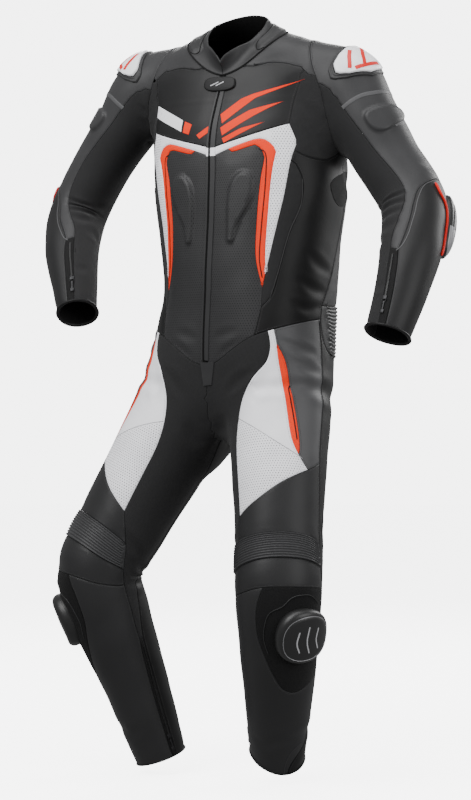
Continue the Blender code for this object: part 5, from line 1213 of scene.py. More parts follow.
def creaseRise(uv, rows, surface):
    # soft troughs (ridges where the depth is negative), raised a little at each side
    rise = np.zeros(len(uv))
    for points, depth, width in rows:
        mid = points[len(points)//2]
        girth = float(surface.chart.girth(np.array([mid[1]]))[0])
        key = np.arange(len(points), dtype=float)
        line = np.array(points, float)
        if len(points) > 2:
            line = smoothRows(np.column_stack([key, line]), np.linspace(0, key[-1], 14))
        turn = (uv[:, 0] - mid[0] + 180) % 360 - 180
        p = np.column_stack([np.radians(turn)*girth, uv[:, 1]])
        q = np.column_stack([np.radians(line[:, 0] - mid[0])*girth, line[:, 1]])
        low, high = q.min(0) - 4*width, q.max(0) + 4*width
        near = np.nonzero(((p > low) & (p < high)).all(1))[0]
        if not len(near):
            continue
        a, d = q[:-1], np.diff(q, axis=0)
        s = np.clip(((p[near, None] - a)*d).sum(2)/(d*d).sum(1), 0, 1)
        gap = np.linalg.norm(a + s[:, :, None]*d - p[near, None], axis=2)
        k = gap.argmin(1)
        row = np.arange(len(near))
        part = (k + s[row, k])/len(d)
        fade = np.sin(pi*np.clip(part, 0, 1))**0.8
        x = gap[row, k]/(width*(0.55 + 0.45*fade))
        rise[near] += depth*fade*(0.42*np.exp(-((x - 1.9)/0.85)**2) - np.exp(-x*x))
    return rise


def softWaves(p):
    # low, wide unevenness of cloth
    total = np.zeros(len(p))
    for kx, ky, kz, shift in ((31, 12, 23, 0.3), (-17, 29, 38, 1.7), (44, -21, 15, 2.9),
                              (12, 47, -52, 4.1), (-66, 18, 71, 5.2)):
        total += np.sin(p[:, 0]*kx + p[:, 1]*ky + p[:, 2]*kz + shift)
    return total/2.2


def seamTree(sheets):
    # every sewn line and free edge, in close points
    rows = []
    for sheet in sheets:
        for name, verts in sheet.lines.items():
            if sheet.kinds[name] in ("crease", "cut"):
                continue
            p = np.array([sheet.world.points[sheet.ids[i]] for i in verts])
            for f in (0, 0.2, 0.4, 0.6, 0.8):
                rows.append(p[:-1]*(1 - f) + p[1:]*f)
    return pointTree(np.vstack(rows))


def pointTree(rows):
    tree = KDTree(len(rows))
    for k, p in enumerate(rows):
        tree.insert(p, k)
    tree.balance()
    return tree


def pointNormals(points, faces):
    a, b, c = (points[faces[:, k]] for k in range(3))
    n = np.cross(b - a, c - a)
    total = np.zeros_like(points)
    for k in range(3):
        np.add.at(total, faces[:, k], n)
    return unit(total)


def borderOf(faces):
    # directed border edges of a panel
    e = np.vstack([faces[:, [0, 1]], faces[:, [1, 2]], faces[:, [2, 0]]]).astype(np.int64)
    size = int(faces.max()) + 1
    key, twin = e[:, 0]*size + e[:, 1], e[:, 1]*size + e[:, 0]
    return e[~np.isin(key, twin)]


def inwardWays(points, normals, border):
    # at each border point, the way into the panel, longer at corners
    way = np.zeros_like(points)
    for k in (0, 1):
        d = unit(points[border[:, 1]] - points[border[:, 0]])
        np.add.at(way, border[:, k], unit(np.cross(normals[border[:, k]], d)))
    size = np.maximum((way*way).sum(1), 0.8)[:, None]
    near = np.full(len(points), 1.0)
    length = np.linalg.norm(points[border[:, 1]] - points[border[:, 0]], axis=1)
    for k in (0, 1):
        np.minimum.at(near, border[:, k], length)
    return 2*way/size*np.minimum(1, 0.45*near/cloth["shoulder"])[:, None]


def linkObject(name, mesh):
    thing = bpy.data.objects.new(name, mesh)
    bpy.context.scene.collection.objects.link(thing)
    return thing


class Suit:
    # all panels' fine triangles on one set of points
    def __init__(self, world, sheets):
        self.world, self.sheets, self.panels = world, sheets, {}

    def add(self, name, sheet, seeds, finish):
        self.panels[name] = (sheet, sheet.piece(seeds), finish)

    def relax(self, base, faces):
        # evens the cloth beside the armholes and between the legs, where two charts meet
        pairs = np.unique(np.sort(np.vstack([faces[:, [0, 1]], faces[:, [1, 2]],
                                             faces[:, [2, 0]]]), axis=1), axis=0)
        for start, reach, rounds, top in cloth["relax"]:
            held, near = self.besideLines(base, start)
            tree = pointTree(base[near])
            share = np.zeros(len(base))
            for k in np.unique(faces):
                share[k] = max(0.0, 1 - tree.find(base[k])[2]/reach)
            share = cloth["relaxShare"]*np.minimum(1, 2*share)
            share *= np.clip((top - base[:, 2])/0.05, 0, 1)
            share[list(held)] = 0
            some = pairs[(share[pairs] > 0).any(1)]
            count = np.zeros(len(base))
            for k in (0, 1):
                np.add.at(count, some[:, k], 1)
            for _ in range(rounds):
                total = np.zeros_like(base)
                np.add.at(total, some[:, 0], base[some[:, 1]])
                np.add.at(total, some[:, 1], base[some[:, 0]])
                base += share[:, None]*(total/np.maximum(count, 1)[:, None] - base)
        low = base[near][base[near][:, 2].argmin()].copy()
        away = base - low
        away[:, 0] *= np.where(away[:, 0] < 0, cloth["crotchReach"]/cloth["crotchSide"], 1)
        lift = max(0.0, cloth["crotchHeight"] - low[2])
        base[:, 2] += lift*np.exp(-(away**2).sum(1)/cloth["crotchReach"]**2)
        print("crotch lifted %.4f" % lift)
        self.world.points = list(base)

    def besideLines(self, base, start):
        # the points that stay and the points on the lines whose names begin so
        held, near = set(), []
        for sheet in self.sheets:
            for name, verts in sheet.lines.items():
                if not name.startswith(start):
                    continue
                ids = [sheet.ids[i] for i in verts]
                near += ids
                if start != "armhole":
                    held.update((ids[0], ids[-1]))
                    continue
                held.update(ids)
                for a, b in zip(ids[:-1], ids[1:]):
                    m = self.world.middles.get((min(a, b), max(a, b)))
                    if m is not None:
                        base[m] = (base[a] + base[b])/2
                        held.add(m)
        return held, near

    def shape(self, rises):
        # moves each point along its normal by creases, pads, ribs and seams
        base = np.array(self.world.points)
        faces = np.vstack([s.outIds[f] for s, f, _ in self.panels.values()])
        used = np.unique(faces)
        self.relax(base, faces)
        self.normals = pointNormals(base, faces)
        total, count = np.zeros(len(base)), np.zeros(len(base))
        for sheet, lift in rises:
            at = np.nonzero(np.isin(sheet.outIds, used))[0]
            ids = sheet.outIds[at]
            np.add.at(total, ids, lift(sheet.outUv[at]))
            np.add.at(count, ids, 1)
        rise = total/np.maximum(count, 1)
        tree = seamTree(self.sheets)
        away = np.full(len(base), 1.0)
        for k in used:
            away[k] = tree.find(base[k])[2]
        rise -= cloth["puff"]*np.exp(-(away/cloth["puffReach"])**2)
        calm = np.clip(away/0.03, 0, 1)
        rise[used] += (cloth["wave"]*softWaves(base[used]))*calm[used]
        self.points = base + rise[:, None]*self.normals
        self.away = away
        self.normals = pointNormals(self.points, faces)
        self.tree = BVHTree.FromPolygons([tuple(p) for p in self.points], faces.tolist())

    def make(self, name, holes=None):
        sheet, local, finish = self.panels[name]
        ids, back = np.unique(sheet.outIds[local], return_inverse=True)
        faces = back.reshape(-1, 3)
        points, normals = self.points[ids], self.normals[ids]
        border = borderOf(faces)
        rim = np.unique(border)
        way = inwardWays(points, normals, border)[rim]
        number = np.full(len(ids), -1)
        number[rim] = np.arange(len(rim))
        p, n = points[rim], normals[rim]
        outer, inner = points.copy(), points - cloth["wall"]*normals
        outer[rim] = p + way*cloth["shoulder"]
        inner[rim] = p + way*cloth["gap"] - n*cloth["wall"]
        middle = p + way*(cloth["shoulder"]*0.36) - n*cloth["round"]
        low = p + way*cloth["gap"] - n*cloth["dip"]
        count = len(ids)
        verts = np.vstack([outer, inner, middle, low])
        a, b = border[:, 0], border[:, 1]
        ma, mb = 2*count + number[a], 2*count + number[b]
        la, lb = ma + len(rim), mb + len(rim)
        quads = np.vstack([np.column_stack(q) for q in
                           ((b, a, ma, mb), (mb, ma, la, lb), (lb, la, a + count, b + count))])
        mesh = bpy.data.meshes.new(name + "_cloth")
        mesh.from_pydata(verts.tolist(), [], faces.tolist() + (faces[:, ::-1] + count).tolist()
                         + quads.tolist())
        flat = sheet.surface.flat(sheet.outUv)
        place = np.zeros((len(verts), 2))
        corner = flat[local]
        place[faces.ravel()] = corner.reshape(-1, 2)
        place[count:2*count] = place[:count]
        place[2*count:2*count + len(rim)] = place[rim]
        place[2*count + len(rim):] = place[rim]
        uv = np.vstack([corner.reshape(-1, 2), place[(faces[:, ::-1]).ravel()],
                        place[quads.ravel()]])
        layer = mesh.uv_layers.new(name="flat")
        layer.data.foreach_set("uv", uv.astype(np.float32).ravel())
        if holes is not None:
            mark = np.zeros(len(verts), np.float32)
            chart = np.zeros((count, 2))
            chart[faces.ravel()] = sheet.outUv[local].reshape(-1, 2)
            mark[:count] = holes(chart)
            item = mesh.attributes.new("holes", "FLOAT", "POINT")
            item.data.foreach_set("value", mark)
        mesh.shade_smooth()
        # a panel in the table of lit and shaded tones takes its copy of the leather, painted
        # light and shade; the front takes the punched leather
        shade = litCopiesAndPunchedFinish.get(name.removesuffix("_left").removesuffix("_right"), finish)
        mesh.materials.append(finishes[shade])
        thing = linkObject(name + "_cloth", mesh)
        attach(thing, "suit")
        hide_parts(name)
        if finish in threads:
            self.sew(threads[finish], p + way*cloth["stitch"], n, rim, border)
        return thing

    def sew(self, thread, line, normals, rim, border):
        # stitches along the panel's border, kept for one object for each thread
        after = {int(a): int(b) for a, b in border}
        number = {int(v): k for k, v in enumerate(rim)}
        left = set(after)
        while left:
            start = min(left)
            loop, v = [], start
            while v in left:
                left.discard(v)
                loop.append(number[v])
                v = after[v]
            if v == start:
                loop.append(loop[0])
            if len(loop) < 3:
                continue
            pts, nrm = line[loop], normals[loop]
            along = alongLine(pts)
            at = np.arange(stitch["pitch"]/2, along[-1], stitch["pitch"])
            here = np.column_stack([np.interp(at, along, c) for c in pts.T])
            up = unit(np.column_stack([np.interp(at, along, c) for c in nrm.T]))
            k = np.clip(np.searchsorted(along, at) - 1, 0, len(pts) - 2)
            ahead = unit(pts[k + 1] - pts[k])
            stitches.setdefault(thread, []).append((here, ahead, up))


litCopiesAndPunchedFinish = {piece: piece for piece in litAndShadedTones}      # the copy of its leather that paints a panel's light and shade
litCopiesAndPunchedFinish["front"] = "punched leather"
stitch = {"pitch": 0.0046, "length": 0.0033, "half": 0.00055, "height": 0.00045}
stitches = {}
threads = {"charcoal leather": "thread grey", "dark leather": "thread grey",
           "white leather": "thread white", "orange leather": "thread orange"}
cloth["stitch"] = 0.0036


def makeStitches():
    for thread, rows in stitches.items():
        here, ahead, up = (np.vstack(c) for c in zip(*rows))
        side = np.cross(ahead, up)*stitch["half"]
        here = here - up*0.0001
        low, top = stitch["length"]/2, stitch["length"]*0.32
        ring = np.stack([here - ahead*low - side, here - ahead*low + side,
                         here - ahead*top + up*stitch["height"],
                         here + ahead*low - side, here + ahead*low + side,
                         here + ahead*top + up*stitch["height"]], axis=1)
        pattern = np.array([(0, 2, 1), (3, 4, 5), (0, 3, 5), (0, 5, 2), (1, 2, 5), (1, 5, 4),
                            (0, 1, 4), (0, 4, 3)])
        count = len(here)
        faces = (pattern[None] + 6*np.arange(count)[:, None, None]).reshape(-1, 3)
        mesh = bpy.data.meshes.new("stitches")
        mesh.from_pydata(ring.reshape(-1, 3).tolist(), [], faces.tolist())
        mesh.materials.append(finishes[thread])
        thing = linkObject("stitches_" + thread.split()[1], mesh)
        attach(thing, "suit")
        print("stitches", thread, count)


# hard pieces
def freshPiece():
    bpy.ops.object.select_all(action="DESELECT")
    bpy.context.scene.cursor.location = (0, 0, 0)


def turned(name, profile, count=64):
    # a round piece of unit radius from its foot to its middle: (radius, height)
    freshPiece()
    bpy.ops.mesh.primitive_circle_add(vertices=count, radius=profile[0][0], fill_type="NGON",
                                      location=(0, 0, profile[0][1]))
    thing = bpy.context.object
    thing.name = thing.data.name = name
    bpy.ops.object.transform_apply(location=True)
    bpy.ops.object.mode_set(mode="EDIT")
    bpy.ops.mesh.select_all(action="SELECT")
    for (r0, z0), (r1, z1) in zip(profile, profile[1:]):
        bpy.ops.mesh.extrude_region_move(TRANSFORM_OT_translate={"value": (0, 0, z1 - z0)})
        bpy.ops.transform.resize(value=(r1/r0, r1/r0, 1), center_override=(0, 0, z1))
    bpy.ops.mesh.poke()
    bpy.ops.object.mode_set(mode="OBJECT")
    return thing


def starReach(outline, middle, angle):
    # how far an outline lies from its middle in each direction
    p = np.array(outline, float) - np.array(middle)
    q = np.roll(p, -1, 0)
    way = np.column_stack([np.cos(angle), np.sin(angle)])
    d = q - p
    base = way[:, :1]*d[:, 1] - way[:, 1:]*d[:, 0]
    base = np.where(np.abs(base) < 1e-12, 1e-12, base)
    t = (p[:, 0]*d[:, 1] - p[:, 1]*d[:, 0])/base
    s = (p[:, 0]*way[:, 1:] - p[:, 1]*way[:, :1])/base
    return np.where((s >= -1e-6) & (s <= 1 + 1e-6) & (t > 0), t, 0).max(1)


def ovalReach(spec, power):
    midU, midV, halfU, halfV = spec

    def reach(angle):
        c, s = np.cos(angle), np.sin(angle)
        r = (np.abs(c)**power + np.abs(s)**power)**(-1/power)
        return np.column_stack([midU + 0*c, midV + 0*c]), np.column_stack([halfU*r*c, halfV*r*s])
    return reach


def outlineReach(outline, middle, scale=1000.0):
    # the chart's degrees are counted as millimetres to find the ways round
    def reach(angle):
        flat = [(u, v*scale) for u, v in outline]
        r = starReach(flat, (middle[0], middle[1]*scale), angle)
        way = np.column_stack([r*np.cos(angle), r*np.sin(angle)/scale])
        return np.repeat(np.array([middle], float), len(angle), 0), way
    return reach


def seat(thing, surface, reach, lean=0.0):
    # lays a round piece on the form, its unit circle drawn out to an outline on the chart;
    # a leaning piece's top is shifted round the limb
    mesh = thing.data
    p = np.zeros(len(mesh.vertices)*3)
    mesh.vertices.foreach_get("co", p)
    p = p.reshape(-1, 3)
    r = np.hypot(p[:, 0], p[:, 1])
    middle, way = reach(np.arctan2(p[:, 1], p[:, 0]))
    uv = middle + way*r[:, None]
    uv[:, 0] += lean*np.clip(p[:, 2]/max(p[:, 2].max(), 1e-9), 0, 1)
    where = surface.point(uv) + surface.normal(uv)*p[:, 2:]
    mesh.vertices.foreach_set("co", where.ravel())
    mesh.update()
    a, b, c = (where[k] for k in list(mesh.polygons[-1].vertices)[:3])
    up = surface.normal(middle[:1])[0]
    if np.cross(b - a, c - a)@up < 0:
        mesh.flip_normals()


def paint(thing, names, choose):
    # one finish for each face, chosen by its middle on the unseated piece
    for name in names:
        thing.data.materials.append(finishes[name])
    for face in thing.data.polygons:
        x, y, z = face.center
        face.material_index = choose(x, y, z)
    thing.data.shade_smooth()
    thing.data.set_sharp_from_angle(angle=radians(42))


def dome(edge, crown, radii, bend=2.6):
    return [(r, edge + crown*max(0.0, 1 - r**bend)**0.5) for r in radii]


def finishHard(thing, node):
    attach(thing, "suit")
    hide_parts(node)
    print("hard", thing.name, len(thing.data.polygons))


cup = {"edge": 0.0034, "crown": 0.0062, "bezel": 0.80}
slider = {"edge": 0.0030, "crown": 0.0140}
puck = {"high": 0.0200, "lean": 3.5}


def shoulderCup(side, surface):
    low, high, bezel = cup["edge"], cup["crown"], cup["bezel"]
    rim = [(1.0, -0.004), (1.0, 0.0006), (0.985, 0.0024), (0.955, 0.0036), (0.925, 0.0030),
           (0.900, 0.0026), (0.875, 0.0034), (0.850, 0.0040), (bezel + 0.025, 0.0036),
           (bezel + 0.008, 0.0018), (bezel, 0.0016), (bezel - 0.006, low)]
    top = dome(low, high, (0.78, 0.74, 0.68, 0.60, 0.50, 0.38, 0.25, 0.12, 0.04))
    thing = turned("shoulder_cup_" + side + "_shell", rim + top, 96)
    paint(thing, ("charcoal leather", "black plastic", "white plastic"),
          lambda x, y, z: 0 if x*x + y*y > (bezel + 0.02)**2 else
          (1 if x*x + y*y > (bezel - 0.005)**2 else 2))
    seat(thing, surface, outlineReach(cupOutline, cupMiddle))
    finishHard(thing, "shoulder_cup_" + side)
    for k, line in enumerate(cupMarks):
        onPiece("cup_mark_%s_%d" % (side, k), surface, line, 0.0078, cupHeight, "mark red")


cupMarks = [[(33, .076), (44, .064), (56, .0565)], [(56, .079), (66, .068), (82, .058)],
            [(40, .0795), (60, .0812), (84, .081)]]


def cupHeight(uv):
    # how high the white shell stands over the sleeve
    d = (uv - np.array(cupMiddle))*np.array([1, 1000.0])
    flat = [(u, v*1000.0) for u, v in cupOutline]
    edge = starReach(flat, (cupMiddle[0], cupMiddle[1]*1000.0), np.arctan2(d[:, 1], d[:, 0]))
    r = np.hypot(d[:, 0], d[:, 1])/edge
    return cup["edge"] + cup["crown"]*np.maximum(0, 1 - r**2.6)**0.5


def elbowSlider(side, surface):
    profile = [(1.0, -0.004), (1.0, 0.0020), (0.985, 0.0036)] + \
        dome(slider["edge"], slider["crown"], (0.96, 0.92, 0.86, 0.80)) + \
        dome(slider["edge"] - 0.0010, slider["crown"], (0.785, 0.765)) + \
        dome(slider["edge"] + 0.0006, slider["crown"], (0.75, 0.70, 0.60, 0.48, 0.35, 0.20, 0.06))
    thing = turned("elbow_slider_" + side + "_shell", profile, 64)
    paint(thing, ("black plastic", "grey plastic"),
          lambda x, y, z: 1 if y > 0.10 and x*x + y*y < 0.94**2 else 0)
    seat(thing, surface, ovalReach(elbowPlace, 2.3))
    finishHard(thing, "elbow_slider_" + side)


def kneePuck(side, surface):
    high = puck["high"]
    wall = [(1.0, -0.004), (1.0, 0.0), (1.0, 0.005), (0.990, 0.0100), (0.965, 0.0142),
            (0.930, 0.0172), (0.890, 0.0190), (0.850, high - 0.0003)]
    rim = [(0.835, high), (0.822, high), (0.816, high - 0.0008), (0.804, high - 0.0008),
           (0.798, high - 0.0002)]
    top = [(r, high - 0.0002) for r in (0.70, 0.50, 0.30, 0.15, 0.05)]
    thing = turned("knee_slider_" + side + "_puck", wall + rim + top, 72)
    paint(thing, ("black plastic", "grey plastic"),
          lambda x, y, z: 1 if 0.800**2 < x*x + y*y < 0.820**2 else 0)
    seat(thing, surface, ovalReach(kneePlace, 2.3), puck["lean"])
    finishHard(thing, "knee_slider_" + side)
    for k, line in enumerate(kneeMarks):
        onPiece("knee_mark_%s_%d" % (side, k), surface, line, 0.0026,
                lambda uv: 0*uv[:, 0] + high - 0.0002, "mark light")


kneeMarks = [[(18, .697), (15, .715), (18, .733)], [(30, .691), (27, .714), (30, .737)],
             [(42, .696), (39, .714), (42, .733)]]


def collarTab(surface):
    tall = 0.0042
    profile = [(1.0, -0.003), (1.0, 0.0020), (0.985, 0.0032), (0.955, tall - 0.0002),
               (0.90, tall), (0.6, tall + 0.0004), (0.4, tall + 0.0006), (0.2, tall + 0.0006),
               (0.05, tall + 0.0006)]
    thing = turned("collar_tab_piece", profile, 64)
    paint(thing, ("dark leather",), lambda x, y, z: 0)
    seat(thing, surface, ovalReach(tabPlace, 3.0))
    finishHard(thing, "collar_tab")
    for k, line in enumerate(tabMarks):
        onPiece("tab_mark_%d" % k, surface, line, 0.0022,
                lambda uv: 0*uv[:, 0] + tall + 0.0005, "mark light")


tabMarks = [[(-13, .056), (-6, .066), (-3, .0705)], [(-6, .056), (1, .066), (4, .0705)]]


def onPiece(name, surface, line, width, heightOf, finish):
    # a slim bar printed on a raised piece
    line = np.array(line, float)
    key = np.arange(len(line), dtype=float)
    uv = smoothRows(np.column_stack([key, line]), np.linspace(0, key[-1], 14))
    n = surface.normal(uv)
    p = surface.point(uv) + n*heightOf(uv)[:, None]
    ahead = unit(np.gradient(p, axis=0))
    side = unit(np.cross(ahead, n))
    shape = [(0.5, -0.5), (0.5, 0.8), (0.4, 1.0), (-0.4, 1.0), (-0.5, 0.8), (-0.5, -0.5)]
    rings = np.stack([p + side*width*x + n*0.0006*y for x, y in shape], axis=1)
    closedStrip(name, rings, finish)


# zips
tooth = {"pitch": 0.0030, "length": 0.0016, "width": 0.0030, "height": 0.0014}


def onCloth(suit, surface, uv):
    # the point of the shaped cloth over each chart place, and the cloth's normal there
    uv = np.atleast_2d(np.asarray(uv, float))
    p, n = surface.point(uv), surface.normal(uv)
    places, ups = [], []
    for a, b in zip(p, n):
        hit, normal, _, _ = suit.tree.ray_cast(Vector(a + b*0.03), Vector(-b), 0.06)
        if hit is None:
            hit, normal = Vector(a), Vector(b)
        if normal.dot(Vector(b)) < 0:
            normal = -normal
        places.append(hit)
        ups.append(normal*0.3 + Vector(b)*0.7)
    return np.array(places), unit(np.array(ups))


def evenOnCloth(suit, surface, line, pitch):
    # evenly spaced places along a chart line: points, ways ahead, normals
    line = np.array(line, float)
    if len(line) > 2:
        key = np.arange(len(line), dtype=float)
        line = smoothRows(np.column_stack([key, line]), np.linspace(0, key[-1], 12*len(line)))
    else:
        line = line[0] + np.linspace(0, 1, 60)[:, None]*(line[1] - line[0])
    p, n = onCloth(suit, surface, line)
    along = alongLine(p)
    count = max(2, int(along[-1]/pitch))
    at = np.linspace(0, along[-1], count + 1)
    p = np.column_stack([np.interp(at, along, c) for c in p.T])
    n = unit(np.column_stack([np.interp(at, along, c) for c in n.T]))
    for _ in range(2):
        n[1:-1] = unit(n[:-2] + 2*n[1:-1] + n[2:])
    ahead = unit(np.gradient(p, axis=0))
    return p, unit(ahead - n*(ahead*n).sum(1)[:, None]), n


def zipTeeth(name, suit, surface, line):
    p, ahead, n = evenOnCloth(suit, surface, line, tooth["pitch"]/2)
    side = np.cross(ahead, n)
    verts, faces = [], []
    for k in range(len(p)):
        way = 1 if k % 2 else -1
        c = p[k] + side[k]*way*0.0006 + n[k]*0.0002
        a, s, u = ahead[k]*tooth["length"]/2, side[k]*tooth["width"]/2, n[k]*tooth["height"]
        base = len(verts)
        verts += [c - a - s, c + a - s, c + a + s, c - a + s,
                  c - a*0.7 - s*0.8 + u, c + a*0.7 - s*0.8 + u,
                  c + a*0.7 + s*0.8 + u, c - a*0.7 + s*0.8 + u]
        faces += [tuple(base + i for i in f) for f in
                  ((3, 2, 1, 0), (4, 5, 6, 7), (0, 1, 5, 4), (1, 2, 6, 5), (2, 3, 7, 6),
                   (3, 0, 4, 7))]
    mesh = bpy.data.meshes.new(name)
    mesh.from_pydata([tuple(v) for v in verts], [], faces)
    a, b, c = (np.array(verts[i]) for i in (4, 5, 6))
    if np.cross(b - a, c - a)@n[0] < 0:
        mesh.flip_normals()
    mesh.materials.append(finishes["black plastic"])
    thing = linkObject(name, mesh)
    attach(thing, "suit")
    print("teeth", name, len(p))


def tube(name, suit, surface, line, radius, finish, sink=0.3, sides=8):
    # a round cord laid along a chart line
    p, ahead, n = evenOnCloth(suit, surface, line, 0.004)
    cord(name, p + n*radius*(1 - sink), ahead, n, radius, finish, sides)


def cord(name, p, ahead, n, radius, finish, sides=6):
    side = np.cross(ahead, n)
    a = np.linspace(0, 2*pi, sides, endpoint=False)
    grow = np.ones(len(p))
    grow[0] = grow[-1] = 0.45
    rings = (p[:, None] + radius*grow[:, None, None]*(np.cos(a)[None, :, None]*side[:, None]
                                                      + np.sin(a)[None, :, None]*n[:, None]))
    closedStrip(name, rings, finish)


def band(name, suit, surface, line, width, height, finish):
    # a flat strip laid along a chart line
    p, ahead, n = evenOnCloth(suit, surface, line, 0.005)
    side = np.cross(ahead, n)
    shape = [(-0.5, -0.6), (-0.5, 0.55), (-0.46, 1.0), (-0.2, 1.0), (0.2, 1.0), (0.46, 1.0),
             (0.5, 0.55), (0.5, -0.6)]
    rings = np.stack([p + side*width*x + n*height*y for x, y in shape[::-1]], axis=1)
    return closedStrip(name, rings, finish)


def closedStrip(name, rings, finish):
    count, around = rings.shape[:2]
    faces = [(k*around + j, k*around + (j + 1) % around, (k + 1)*around + (j + 1) % around,
              (k + 1)*around + j) for k in range(count - 1) for j in range(around)]
    faces += [tuple(range(around))[::-1], tuple((count - 1)*around + j for j in range(around))]
    mesh = bpy.data.meshes.new(name)
    mesh.from_pydata(rings.reshape(-1, 3).tolist(), [], faces)
    middle = rings[count//2].mean(0)
    face = mesh.polygons[(count//2)*around]
    if face.normal.dot(Vector(np.array(face.center) - middle)) < 0:
        mesh.flip_normals()
    mesh.shade_smooth()
    mesh.set_sharp_from_angle(angle=radians(50))
    mesh.materials.append(finishes[finish])
    mesh.uv_layers.new(name="flat")
    thing = linkObject(name, mesh)
    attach(thing, "suit")
    return thing


def box(size, centre, bevel):
    freshPiece()
    bpy.ops.mesh.primitive_cube_add(size=1, location=centre)
    thing = bpy.context.object
    thing.scale = size
    bpy.ops.object.transform_apply(location=True, rotation=False, scale=True)
    bpy.ops.object.mode_set(mode="EDIT")
    bpy.ops.mesh.select_all(action="SELECT")
    bpy.ops.mesh.bevel(offset=bevel, segments=2, affect="EDGES")
    bpy.ops.object.mode_set(mode="OBJECT")
    return thing


def joined(things, name):
    bpy.ops.object.select_all(action="DESELECT")
    for thing in things:
        thing.select_set(True)
    bpy.context.view_layer.objects.active = things[0]
    if len(things) > 1:
        bpy.ops.object.join()
    things[0].name = things[0].data.name = name
    things[0].data.shade_smooth()
    things[0].data.set_sharp_from_angle(angle=radians(40))
    return things[0]


def placeMesh(thing, origin, ahead, up):
    # moves the mesh's own points; the object stays at the origin
    side = np.cross(up, ahead)
    turn = Matrix((tuple(side), tuple(ahead), tuple(up))).transposed().to_4x4()
    thing.data.transform(Matrix.Translation(Vector(origin)) @ turn)


def zipPull(node, surface, place, ahead, body):
    # the slider's body stays on the zip; its tab hangs from the hinge
    length, width, thick = 0.0236, 0.0070, 0.0014
    here, there = surface.point(np.array([place, ahead]))
    n = surface.normal(np.array([place]))[0]
    down = unit(there - here - n*float((there - here)@n))
    hinge = here + n*0.0010
    ring = turned(node + "_tab",
                  [(1.0, 0.0), (1.0, 0.3), (0.86, 0.5), (0.3, 0.5), (0.05, 0.5)], 20)
    ring.data.transform(Matrix.Diagonal((0.0024, 0.0024, thick, 1)))
    ring.data.transform(Matrix.Translation((0, 0.0180, -thick*0.02)))
    parts = [box((width*0.62, 0.0040, thick*0.9), (0, 0.0022, 0), 0.0003),
             box((width*0.42, length*0.62, thick*0.8), (0, length*0.40, 0), 0.0003),
             box((width, length*0.30, thick), (0, length*0.84, 0), 0.0005), ring]
    tab = joined(parts, node + "_tab")
    tab.data.materials.append(finishes["zip metal"])
    placeMesh(tab, hinge, down, n)
    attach(tab, body)
    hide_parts(node)
    parts = [box((0.0086, 0.0080, 0.0018), (0, -0.0076, 0), 0.0006)]
    parts += [box((0.0010, 0.0042, 0.0017), (x, -0.0018, 0), 0.0003) for x in (0.0040, -0.0040)]
    body = joined(parts, node + "_slider")
    body.data.materials.append(finishes["zip metal"])
    placeMesh(body, here + n*0.0006, down, n)
    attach(body, "suit")
    print("pull", node)


# collar
def collarRing(suit, sheet):
    neck = sheet.lines["neck"]
    neck = neck[:-1] if sheet.ids[neck[0]] == sheet.ids[neck[-1]] else neck
    centre = int(np.argmin([abs(sheet.uv[i][0]) for i in neck]))
    ring = [sheet.ids[i] for i in neck[centre:] + neck[:centre + 1]]
    ids = []
    for a, b in zip(ring[:-1], ring[1:]):
        ids += [a, suit.world.middles[(min(a, b), max(a, b))]]
    return ids + [ring[-1]]


collarBand = {"cord": 0.0016, "cordOut": 0.0004, "roll": 2.0, "bow": 0.004, "over": 0.0018,
         "strip": 0.0030, "stripFrom": 45, "stripLow": 0.05, "stripHigh": 0.72}
stripLine = [(50, .03), (45.5, .14), (44.5, .30), (46, .46), (50, .60), (57, .70), (70, .735),
             (90, .735), (120, .735), (150, .735), (179, .735)]


def stripRise(off, part, height):
    # a band sewn on round the outside of the collar, with a thin groove beside it
    ahead = (off - collarBand["stripFrom"])*0.0013
    up, down = (part - collarBand["stripLow"])*height, (collarBand["stripHigh"] - part)*height
    inside = -0.003*np.log(np.exp(-ahead/0.003) + np.exp(-down/0.003) + np.exp(-up/0.003))
    f = np.clip(inside/0.004, 0, 1)
    groove = np.exp(-((inside + 0.0016)/0.0017)**2)
    return collarBand["strip"]*f*f*(3 - 2*f) - 0.0010*groove


